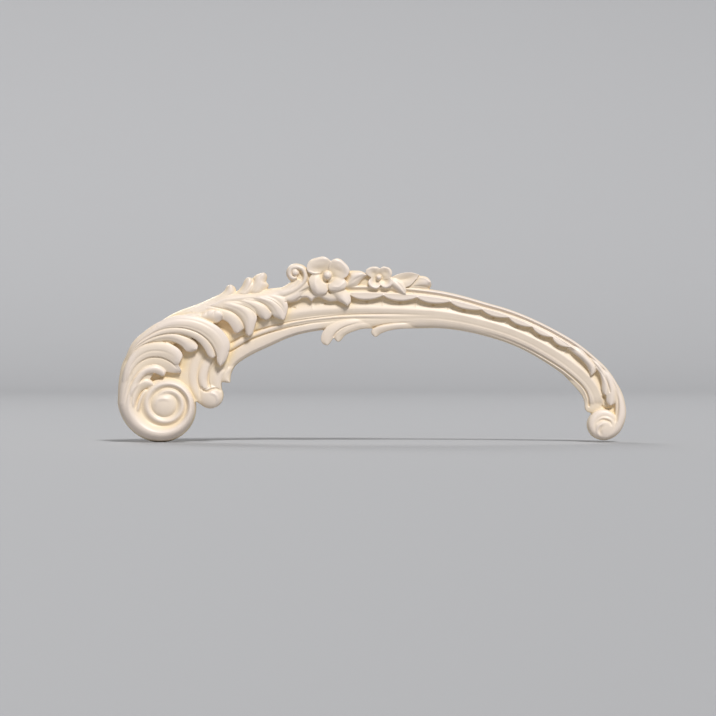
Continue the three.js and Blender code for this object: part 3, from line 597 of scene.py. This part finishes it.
def stem_scroll():
    boss((296.2, 273.2), 9.6, RECESS + 5.4, RECESS + 4)
    boss((307.5, 279), 8, RECESS + 6.2, RECESS + 5)
    blade([[250, 294], [270, 291.4], [281, 288.2], [290, 282.8], [297, 279]],
          [[250, 301], [272, 302], [288, 300], [300, 291], [303, 281]],
          ([15, 14.5, 14, 14], [STEM, STEM, STEM - 1, 17], [17.4, 16.5, 15.4, 15]), crest=0.42, root=0.3)
    blade([[262, 299], [276, 298], [288, 294.5], [299, 288], [306, 281]],
          [[262, 303], [275, 302.2], [286, 302.4], [294, 301.2], [300, 297.6], [303, 292.6],
           [310.5, 288.2]],
          ([17, 17, 16.6], [STEM - 0.6, STEM - 0.6, 17.8], [16.4, 16.6, 16.4]), root=0.4)
    ridge([[268, 296.8], [284, 293.6], [296, 289], [303.4, 282.4], [305.4, 275.6], [303.2, 269.8],
           [298.4, 267.4], [293.2, 267.6], [290.2, 270.8], [290, 275], [292.8, 278], [297, 277.4]],
          [4.4, 5, 5, 4.4, 3.8, 3.6, 3.6, 3.6, 3.5, 3.4, 3.2, 2.4],
          [STEM - 3, STEM - 0.4, STEM - 0.4, STEM, STEM + 0.4, STEM, STEM - 1.4],
          [RECESS + 5, RECESS + 4, RECESS + 4.6], full=1.7)
    boss((295.4, 272.6), 4.4, STEM + 0.3, RECESS + 5)
    vein([(292, 269.6), (291.9, 274), (294.4, 276.4), (298.4, 275.6)], 1.2, [0.4, 1, 1.2, 0.6])
    vein([(301.4, 282.6), (302.8, 277.5), (301, 272), (298, 270.4)], 1.7, [0.5, 1.6, 1.8, 0.8])
    vein([(299.6, 295.2), (300, 292.6), (304, 290.6), (309.5, 288)], 1.4, [0.3, 0.9, 0.9])
    vein([(286, 302.2), (294, 301.3), (300.5, 297.2)], 1.2, 1.4)


big_scroll()
small_scroll()
stem_scroll()
print("strokes so far:", len(strokes))

# %% [markdown]
# ## Flowers and their leaves
#
# The upper petals are cupped: their rims roll up and the middle falls towards the heart. The lower two turn
# over and are domed. The button at the heart is a plain bead that sits in a pit. The leaves that carry the
# flowers lie half under them.

# %% Flowers and leaves
def big_flower():
    boss((327.5, 277.5), 15.5, RIDGE + 1, RIDGE)
    boss((313, 280), 6, RIDGE, RIDGE - 1)
    boss((345.4, 279), 5, RIDGE + 0.6, RIDGE)
    cup = ([16, 19.4, 20.4, 18], [15.4, 18.4, 20.4, 18.4], [16, 19.2, 20.2, 18])
    blade([[322, 277], [314, 275.3], [308, 272], [307.2, 266], [309.8, 261], [313.5, 258.9]],
          [[328, 274], [330.4, 268], [331.4, 262.8], [328.6, 259.2], [323.6, 256.8], [318.6, 257.6]],
          cup, crest=0.52)
    blade([[326.4, 274], [329, 268], [330.6, 262.5], [333.4, 259.8], [338, 258.7], [341.6, 260]],
          [[331, 278], [340, 279.2], [346.6, 277], [349.6, 271.2], [347.8, 266.4], [344.2, 262.4]], cup)
    dome = ([15.8, 18.4, 19, 17.6], [16.5, 19.2, 20.6, 19.4], [15.8, 18.6, 19, 17.6])
    blade([[328.6, 280], [327, 285.5], [328.4, 289.8], [332.3, 292.6]],
          [[333, 276.5], [340, 276.8], [345.6, 280.6], [346.6, 285.4], [344.2, 289.4], [339.6, 291.9]],
          dome, crest=0.6, tip=1.2)
    blade([[323, 273], [313.5, 274], [309, 279.6], [310.2, 286.6], [313, 292.6], [316, 295]],
          [[326, 279], [327.3, 284.5], [328, 290], [325.4, 293.8], [321.6, 295.7]],
          dome, crest=0.4, tip=1.2)
    boss((327.6, 275.7), 4.8, 22.4, 15.5, full=2)
    vein([(334, 279.4), (330, 282.6), (325.4, 282.2), (322, 279), (321.4, 274.5), (323.8, 270.8)], 1.8,
         [0.5, 1.6, 2.2, 1.8, 1, 0.3])
    vein([(328, 283), (327.8, 288), (330, 293.4)], 1.2, [1, 1.8, 1.8])
    bead([(309.5, 271.8), (315, 273.6), (321, 273.2)], 1.5, [0.5, 1, 0.4])
    bead([(330.6, 262.6), (329.4, 267), (329.2, 270.4)], 1.3, [0.4, 0.7, 0.4])
    bead([(310.6, 262.4), (317, 260), (323.6, 259), (328.3, 261.4)], 3.2, [0.3, 0.7, 0.7, 0.3])
    bead([(334, 262), (340, 261.8), (344.6, 266), (347, 271)], 3.2, [0.3, 0.7, 0.7, 0.3])
    vein([(312, 268.4), (318, 269.2), (325, 268)], 4.6, [0.3, 0.8, 0.3])
    vein([(333, 268.5), (339, 271), (344.5, 274)], 4.6, [0.3, 0.8, 0.3])
    bead([(316, 279), (315.2, 284), (317, 290)], 2.6, [0.3, 0.7, 0.3])
    bead([(333, 287), (338.6, 287.2), (343.6, 283.4)], 2.2, [0.4, 0.8, 0.5])


def small_flower():
    boss((379, 278), 9.6, RIDGE + 0.4, RIDGE - 0.4)
    boss((365, 281.4), 6.6, 13.8, 12.8)
    cup = ([14.6, 17.8, 18.8, 18], [13.8, 15.8, 18.4, 18], [14.6, 17.6, 18.6, 17.8])
    bowed = ([14.6, 17.6, 18.2, 16.6], [13.8, 16.6, 18.2, 16.8], [14.6, 17.4, 18, 16.6])
    blade([[376, 280], [369.4, 276.8], [366, 273.4], [366.4, 269.8], [369.8, 267.6]],
          [[381, 276], [380.6, 271.6], [379.4, 268.8], [376.8, 267], [373, 266.8]], bowed)
    blade([[378.6, 276], [378.8, 271.4], [380.4, 268.4], [383.4, 266.7], [387, 267.4]],
          [[381.6, 280.4], [388.6, 278.6], [391.8, 275], [391.4, 270.6], [388.8, 267.8]], bowed)
    blade([[382.4, 277.2], [389, 277.6], [392.3, 280.6], [391.8, 285], [389, 287.8]],
          [[378.4, 280], [380, 284.2], [382.6, 287.4], [385.6, 288.6], [388, 288.2]], cup)
    blade([[381, 280.4], [380.6, 284.8], [378.4, 288], [375.4, 289.3], [372.6, 288.4]],
          [[375.8, 276.4], [370.6, 278.6], [368.3, 281.6], [368.6, 285.4], [371, 287.8]], cup)
    boss((378.7, 277.8), 2.9, 19.6, 14.5)
    for rim in ([(368, 273.6), (368.6, 270.2), (372.6, 268.2), (377, 269)],
                [(381.2, 269.6), (384.4, 268), (388.6, 269.4), (390, 274)],
                [(382.6, 285.8), (386.4, 287.2), (390, 285), (390.6, 281)],
                [(370, 281.6), (370.6, 285.6), (374.8, 287.8), (378.6, 286.4)]):
        bead(rim, 1.9, [0.3, 0.8, 0.8, 0.3])
    for x, y in ((373.6, 273.2), (385.4, 272.8), (386, 282.4), (374.8, 282.8)):
        dimple(x, y, 3.4, 0.9)


def flower_leaves():
    blade([[329, 288], [331.6, 294.8], [337.2, 300.3], [343, 303.6], [347.5, 306.2]],
          [[344, 288], [349.3, 294], [350.9, 299], [350.4, 303], [347.5, 306.2]],
          ([15, 15.5, 16], [17.5, 18.5, 19, 18.5], [16.5, 17, 17]), crest=0.45, tip=1)
    blade([[344, 289], [345, 283], [348.3, 275.5], [349.6, 271.3], [356, 270.7], [362, 271.6],
           [368, 275.6]],
          [[346, 288], [352, 288.2], [357, 286], [360.6, 281.5], [364, 278], [368, 275.6]],
          ([14, 14, 15, 15], [16, 18.5, 19, 18], [15, 15, 15.5, 16]), crest=0.45, tip=1)
    blade([[359, 288], [360, 283], [364, 277.5]], [[369, 288], [368, 283], [367, 277]],
          (11, 10.8, 11))
    blade([[386, 281], [391.5, 277.3], [398, 274.3], [405, 272.8], [412, 272.8], [419.5, 275]],
          [[388, 289], [396, 289.3], [404, 288], [410.3, 285.5], [414.8, 281], [419.5, 275]],
          ([16, 17, 17.8, 17], [16, 16.8, 16.6, 17], [15, 16.5, 17, 16.5]))
    blade([[387, 285], [392, 288.8], [397, 292.3], [402, 294.7], [406, 294.9]],
          [[390, 278.3], [396, 278.3], [401.5, 282], [405.6, 288], [406, 294.9]],
          ([14.5, 15, 15.5], [17.5, 19, 19, 17.5], [16.5, 17, 16]), tip=1)
    blade([[408, 287], [413, 281], [417.5, 276.8], [422, 276], [427.5, 277.7], [431, 281.8]],
          [[408, 290.5], [415, 291], [421, 291], [426.5, 290], [431, 286.5], [431, 281.8]],
          ([13, 14, 14], [14.5, 16, 17, 16], [12, 12, 13]), crest=0.45)
    vein([(414, 286.5), (421, 286.2), (427, 286.8), (430, 288.6)], 1.3, [0.4, 0.9, 1.2])
    bead([(415.5, 279.5), (419.5, 278.2), (425.5, 279), (429.3, 282.5)], 1.6, [0.5, 0.9, 0.6])
    vein([(396, 280), (404, 279.4), (413, 277.4)], 4, [0.2, 1, 0.3])
    vein([(395, 281), (400, 285.4), (404.4, 292)], 1.6, [0.3, 0.8, 0.6])
    vein([(350, 283), (356, 279), (363, 275.6)], 1.8, [0.2, 0.6, 0.3])


def inner_leaves():
    """Leaves that turn over the rail's inner edge."""
    blade([[396, 316.6], [364, 317.6], [344, 320.4], [330, 325.4], [323.2, 331.4], [321, 338], [322, 342.8],
           [325.6, 345.6]],
          [[396, 323], [366, 323.6], [352, 326.4], [341.6, 331.4], [335, 336.6], [331.4, 341], [329, 345]],
          ([9.4, 11.4, 11.8, 11.6], [10, 12, 13, 13], [9.4, 11.8, 12.2, 11.8]), crest=0.55, tip=1.4,
          root=0.6)
    blade([[396, 320.4], [364, 321.6], [349, 325], [340, 330.4], [334.2, 335.8], [335.3, 340],
           [337.4, 342]],
          [[396, 328.2], [366, 328.6], [357.4, 330.2], [349.7, 332.9], [345, 335.6], [342.4, 338.6],
           [340, 341.6]],
          ([9.6, 11.2, 11.6, 11.2], [10, 11.8, 12.4, 12.2], [8.5, 9.8, 10.6, 10.4]), crest=0.35, tip=1.2,
          root=0.6)
    blade([[434, 320.5], [404, 321.8], [389, 323.8], [378.5, 326], [372.5, 329.2], [371.3, 333],
           [373.8, 336.6]],
          [[434, 328], [402, 328.8], [389.5, 330.6], [382.6, 332.9], [379.5, 334.5], [377.2, 337]],
          ([10, 11.4, 11.8, 11.4], [10.4, 11.9, 12.5, 12.5], [8.5, 9.8, 10.8, 10.8]), crest=0.35, tip=1.2,
          root=0.6)
    boss((334.6, 335.4), 2.4, 10.4, 9.6)
    vein([(358, 322.9), (345, 326.9), (337, 332), (333.8, 336.5)], 1.2, [0.2, 1, 1.6])
    vein([(410, 322.4), (392, 323.6), (381, 325.3), (373, 328)], 1.2, [0.2, 1.2, 1.6])


big_flower()
small_flower()
flower_leaves()
inner_leaves()
print("strokes so far:", len(strokes))

# %% [markdown]
# ## The tail
#
# At the right end the rail's outer roll runs on into a small scroll, and three short leaves step down over
# it, each from under the one before.

# %% The tail
TAIL = 18


def tail():
    blade([[560, 343], [571, 351.4], [580, 358.8], [585, 364.3], [588.5, 370.5], [589.6, 375]],
          [[566, 338], [579, 348.6], [589.5, 358.5], [595.5, 365.5], [595.5, 371.5], [592, 375.4]],
          ([14, 15, 15, 14], [16.2, 17, 17.4, 16.8], [16, 16.4, 15, 14]), tip=1, root=0.5)
    blade([[577, 351], [590, 361.5], [597.6, 371], [601, 381], [601.2, 388], [602.2, 392.6], [604.2, 395]],
          [[580, 348], [595, 360.4], [603.6, 372], [608, 382], [609.3, 389], [607.8, 393.4],
           [605.2, 395.6]],
          ([14, 14.6, 15, 14.4], [15.6, 16.8, 17.2, 17], [15, 16, 15.4, 14.6]), tip=1, root=0.5)
    blade([[590, 360], [601.5, 373], [606.4, 386], [605.6, 397], [606.2, 402.2], [608.6, 405.2]],
          [[593, 358], [606.6, 371], [614, 386], [615.6, 397], [614.6, 402.6], [611.6, 405.6]],
          ([14, 15, 15.4, 15.4], [15.4, 16.8, 17.4, 17.6], [15, 16, 15.4, 14.6]), tip=1, root=0.5)
    blade([[560, 371], [579, 391], [584.5, 401], [585.4, 408.8], [588, 412], [591.7, 414], [592, 422]],
          [[590, 366], [608, 381], [616, 394], [620, 404], [621, 410], [620, 416], [618, 424]],
          (RECESS - 1, [RECESS + 1.5, RECESS + 1.5, RECESS + 1, RECESS + 1.5], RECESS), crest=0.4, root=0.3)
    # The roll runs on round the scroll, and a broad dome fills it
    ridge([[598, 366], [608.6, 379], [616, 392], [619.6, 406], [619.4, 418], [614.2, 429.2], [605, 434.4],
           [596.4, 432.2], [592.8, 425.6], [594.4, 419.4], [599.4, 415], [606, 414.4], [611.4, 417.6],
           [612.6, 423.6]],
          [1.6, 2.6, 4, 5, 5.6, 6, 6, 6, 5.8, 5.6, 5.6, 5.4, 4.4, 3],
          [ROLL - 2, ROLL - 0.6, ROLL, TAIL - 1.2, TAIL - 1, TAIL - 1.4, TAIL - 1.8, TAIL - 2],
          [EDGE + 2, EDGE + 2, EDGE + 2, RECESS - 1, RECESS, RECESS + 2, RECESS + 4], full=1.9)
    boss((604.4, 426.6), 11.6, TAIL, RECESS + 4.6, full=2.2)
    vein([(610.8, 424.8), (608.8, 421.6), (604, 419.8), (600, 420.4), (597, 422.8)], 2,
         [0.6, 2, 2.2, 1.6, 0.6])
    vein([(603, 425.6), (600.2, 428), (599.4, 431.4), (601.4, 434.6)], 2.4, [0.2, 0.9, 0.9, 0.2])
    bead([(602, 423.4), (597.8, 426), (596, 430.4), (598, 435)], 1.9, [0.3, 0.9, 0.9, 0.2])
    vein([(615.6, 392), (617.4, 402), (617, 412), (615.8, 421)], 1.9, [0.3, 1.4, 1.8, 0.8])
    vein([(575, 346.5), (588, 358), (595, 367)], 1.3, [0.3, 0.8, 0.8])
    vein([(587, 357), (600, 371), (607, 384), (609.4, 392)], 1.3, [0.3, 0.8, 0.9])
    dimple(603.5, 397, 2.6, 2.2)
    vein([(602, 406.2), (606, 408.4), (611, 407.4)], 1.8, [1.6, 2.6, 1.4])


tail()
print("all strokes:", len(strokes))

# %% [markdown]
# ## Casting
#
# A casting has no seams between its leaves: the resin fills the mould as one body, and the skin softens
# every edge a little. So the strokes are melted together on a fine voxel grid, smoothed lightly, cut with
# the veiner lines, and then thinned where the surface is flat, such as on the back.

# %% Cast the strokes as one piece
VOXEL = 0.00045
FACES_KEPT = 192000
# Cuts start this far off the back and never reach closer to it than the second height
CUT_ABOVE, CUT_FLOOR = 0.004, 0.003


def placed(name, data):
    """A new object in the scene."""
    thing = bpy.data.objects.new(name, data)
    bpy.context.scene.collection.objects.link(thing)
    return thing


def mesh_of(parts):
    """One mesh of all strokes, in metres, front towards -Y."""
    points, faces, start = [], [], 0
    for place, rows in parts:
        points.append(np.column_stack([place[:, 0] - SHEET_X, -place[:, 2], SHEET_Y - place[:, 1]]) * MM)
        faces += [tuple(i + start for i in row) for row in rows]
        start += len(place)
    mesh = bpy.data.meshes.new("onlay_strokes")
    mesh.from_pydata(np.vstack(points).tolist(), [], faces)
    mesh.validate()
    return mesh


def apply_modifiers(thing):
    shown = thing.evaluated_get(bpy.context.evaluated_depsgraph_get())
    made = bpy.data.meshes.new_from_object(shown)
    thing.modifiers.clear()
    old = thing.data
    thing.data = made
    bpy.data.meshes.remove(old)


def points_of(mesh):
    points = np.empty(len(mesh.vertices) * 3)
    mesh.vertices.foreach_get("co", points)
    return points.reshape(-1, 3)


def sheet_value(sheet, points):
    """The relief sheet read between its cells under each point."""
    u = (points[:, 0] / MM + SHEET_X - CUT_ORIGIN[0]) / CUT_CELL
    v = (SHEET_Y - points[:, 2] / MM - CUT_ORIGIN[1]) / CUT_CELL
    i, j = np.floor(u).astype(int), np.floor(v).astype(int)
    fu, fv = u - i, v - j
    return (sheet[i, j] * (1 - fu) * (1 - fv) + sheet[i + 1, j] * fu * (1 - fv)
            + sheet[i, j + 1] * (1 - fu) * fv + sheet[i + 1, j + 1] * fu * fv)


def cast():
    piece = placed("onlay_casting", mesh_of(strokes))
    melt = piece.modifiers.new("melt", "REMESH")
    melt.mode = "VOXEL"
    melt.voxel_size = VOXEL
    melt.adaptivity = 0
    soften = piece.modifiers.new("soften", "SMOOTH")
    soften.factor = 0.5
    soften.iterations = 2
    apply_modifiers(piece)
    print("melted:", len(piece.data.polygons), "faces")
    points = points_of(piece.data)
    change = (sheet_value(cuts, points) - sheet_value(raises, points)) * MM
    y = points[:, 1]
    y = np.where(y < -CUT_ABOVE, np.minimum(y + change, -CUT_FLOOR), y)
    # The voxels leave the back a little uneven, and it is set flat again
    points[:, 1] = np.where(y > -0.6 * VOXEL, 0, y)
    piece.data.vertices.foreach_set("co", points.ravel())
    settle = piece.modifiers.new("settle", "SMOOTH")
    settle.factor = 0.4
    settle.iterations = 1
    thin = piece.modifiers.new("thin", "DECIMATE")
    thin.ratio = min(1, FACES_KEPT / (2 * len(piece.data.polygons)))
    apply_modifiers(piece)
    print("kept:", len(piece.data.polygons), "faces")
    return piece


casting = cast()

# %% [markdown]
# ## Hollows and heights
#
# Light bounces around in the hollows, so they look warmer and creamier than the pale, rosy tops. That
# bounce light is painted into the colour here. Each point gets a share that says how deep it lies below
# its surroundings, measured against a blurred relief.

# %% Measure how hollow each place is
CELL = 0.001
MARGIN = 20
BLUR = 4.5
BLUR_REACH = 12
FILL_TURNS = 3
DEPTH_RANGE = 0.009


def hollow_shares(mesh):
    """How deep each point lies below its blurred surroundings, from 0 to 1."""
    points = points_of(mesh)
    low = points.min(axis=0) - MARGIN * CELL
    cells = ((points[:, [0, 2]] - low[[0, 2]]) / CELL).astype(int)
    size = cells.max(axis=0) + MARGIN + 1
    relief = np.zeros(size)
    np.maximum.at(relief, (cells[:, 0], cells[:, 1]), -points[:, 1])
    for _ in range(FILL_TURNS):
        grown = np.maximum.reduce([np.roll(relief, move, axis) for axis in (0, 1) for move in (-1, 1)])
        relief = np.where(relief > 0, relief, grown * (grown > 0))
    reach = np.arange(-BLUR_REACH, BLUR_REACH + 1)
    bell = np.exp(-(reach / BLUR) ** 2 / 2)
    soft, cover = relief.copy(), (relief > 0).astype(float)
    for axis in (0, 1):
        soft, cover = [sum(w * np.roll(grid, r, axis) for w, r in zip(bell, reach))
                       for grid in (soft, cover)]
    around = soft / np.maximum(cover, 1e-6)
    depth = around[cells[:, 0], cells[:, 1]] + points[:, 1]
    return np.clip(0.5 + depth / DEPTH_RANGE, 0, 1)


# These shares steer the painted bounce light: the deeper a place lies, the creamier it is coloured
shares = hollow_shares(casting.data)
hollow = casting.data.attributes.new("hollow", "FLOAT", "POINT")
hollow.data.foreach_set("value", shares.astype(np.float32))
casting.data.shade_smooth()
print("mean hollow share", round(float(shares.mean()), 3))

# %% [markdown]
# ## The skin
#
# Moulded polyurethane comes out with a satin, slightly soft skin in warm ivory. The finish has three parts:
# the colour runs from rosy ivory on the tops to a painted cream in the hollows, which stands in for the
# light that bounces around in them, a fine mottle keeps it from being one flat tone, and a very fine grain
# breaks the highlight.

# %% Ivory polyurethane
TOP_TONE = (0.800, 0.690, 0.600, 1)
# Painted bounce light: the warm cream given to the hollows stands in for light bounced around in them
PAINTED_BOUNCE_TONE = (0.820, 0.660, 0.430, 1)
# Hollow shares at which the tops' tone ends and the painted bounce light of the hollows begins
TONE_STOPS = (0.35, 0.85)


def ivory():
    skin = bpy.data.materials.new("ivory_polyurethane")
    skin.use_nodes = True
    nodes, links = skin.node_tree.nodes, skin.node_tree.links

    def node(kind, values={}):
        made = nodes.new("ShaderNode" + kind)
        for name, value in values.items():
            made.inputs[name].default_value = value
        return made

    shader = nodes["Principled BSDF"]
    place = node("TexCoord")
    share = node("Attribute")
    share.attribute_name = "hollow"
    # The ramp paints bounce light into the colour, from rosy ivory on the tops to cream deep in the hollows
    ramp = node("ValToRGB")
    for stop, position, colour in zip(ramp.color_ramp.elements, TONE_STOPS, (TOP_TONE, PAINTED_BOUNCE_TONE)):
        stop.position = position
        stop.color = colour
    mottle = node("TexNoise", {"Scale": 60, "Detail": 4})
    spread = node("MapRange", {"To Min": 0.96, "To Max": 1.05})
    tone = node("HueSaturation")
    gloss = node("MapRange", {"To Min": 0.36, "To Max": 0.5})
    grain = node("TexNoise", {"Scale": 900, "Detail": 3})
    bump = node("Bump", {"Strength": 0.12, "Distance": 0.0002})
    for giver, output, taker, name in (
            (share, "Fac", ramp, "Fac"), (place, "Object", mottle, "Vector"),
            (mottle, "Fac", spread, "Value"), (ramp, "Color", tone, "Color"),
            (spread, "Result", tone, "Value"), (tone, "Color", shader, "Base Color"),
            (mottle, "Fac", gloss, "Value"), (gloss, "Result", shader, "Roughness"),
            (place, "Object", grain, "Vector"), (grain, "Fac", bump, "Height"),
            (bump, "Normal", shader, "Normal")):
        links.new(giver.outputs[output], taker.inputs[name])
    return skin


casting.data.materials.clear()
casting.data.materials.append(ivory())
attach(casting, "root")
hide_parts("scroll_onlay")

# %% [markdown]
# ## Studio
#
# The onlay stands on a pale floor that sweeps up far behind it. A broad soft light from above, a little to
# the right, shows the carving as the photograph does: bright upper edges, soft shade below.

# %% Floor, lights and camera
FLOOR_Z = CAD_BOX[0][2]
FLOOR_TONE = 0.38
FLOOR_SIDES = 96
AIR_TONE, AIR_LIGHT = (0.94, 0.96, 1.0, 1), 0.22


def pale(name, tone):
    stuff = bpy.data.materials.new(name)
    stuff.use_nodes = True
    shader = stuff.node_tree.nodes["Principled BSDF"]
    shader.inputs["Base Color"].default_value = (tone, tone, tone * 1.02, 1)
    shader.inputs["Roughness"].default_value = 0.85
    return stuff


def bowl():
    """A round floor that curves up on every side, far from the piece."""
    flat, bend, wall = 4.5, 2.0, 2.4
    profile = [(r, 0) for r in np.linspace(0, flat, 6)[1:]]
    for a in np.linspace(0, math.pi / 2, 13)[1:]:
        profile.append((flat + bend * math.sin(a), bend - bend * math.cos(a)))
    profile.append((flat + bend, wall))
    turns = [2 * math.pi * i / FLOOR_SIDES for i in range(FLOOR_SIDES)]
    points = [(0, 0, FLOOR_Z)]
    points += [(r * math.cos(a), r * math.sin(a), FLOOR_Z + z) for r, z in profile for a in turns]
    faces = [(0, 1 + j, 1 + (j + 1) % FLOOR_SIDES) for j in range(FLOOR_SIDES)]
    faces += [face[::-1] for face in ring_faces(len(profile), FLOOR_SIDES, first=1)]
    mesh = bpy.data.meshes.new("studio_floor")
    mesh.from_pydata(points, [], faces)
    mesh.shade_smooth()
    floor = placed("studio_floor", mesh)
    mesh.materials.append(pale("pale_floor", FLOOR_TONE))


def sun(name, towards, power, soft):
    """An even light that comes from the given direction."""
    lamp = bpy.data.lights.new(name, "SUN")
    lamp.energy = power
    lamp.angle = math.radians(soft)
    thing = placed(name, lamp)
    thing.rotation_euler = Vector(towards).to_track_quat("Z", "Y").to_euler()


bowl()
sun("key_from_above", (0.32, -0.84, 1.0), 3.1, 14)
sun("fill_from_front", (-0.5, -1, 0.3), 0.35, 40)
sun("light_from_behind", (-0.4, 0.9, 0.7), 1.1, 30)
sky = bpy.data.worlds.new("studio_air")
sky.use_nodes = True
air = sky.node_tree.nodes["Background"].inputs
air["Color"].default_value = AIR_TONE
air["Strength"].default_value = AIR_LIGHT
bpy.context.scene.world = sky
bpy.context.scene.view_settings.view_transform = "Standard"

IMAGE = 716
LENS = 150
SENSOR = 36
VIEW_WIDTH = IMAGE * MM
DISTANCE = VIEW_WIDTH * LENS / SENSOR
MIDDLE = ((IMAGE / 2 - SHEET_X) * MM, (SHEET_Y - IMAGE / 2) * MM)
# The photo's scale holds this far in front of the back
RELIEF_PLANE = 0.008
lens = bpy.data.cameras.new("camera")
lens.lens = LENS
lens.sensor_width = SENSOR
lens.clip_end = 50
camera = placed("camera", lens)
camera.location = (MIDDLE[0], -DISTANCE - RELIEF_PLANE, MIDDLE[1])
camera.rotation_euler = (math.pi / 2, 0, 0)
bpy.context.scene.camera = camera
print("camera", round(DISTANCE, 2), "m in front")
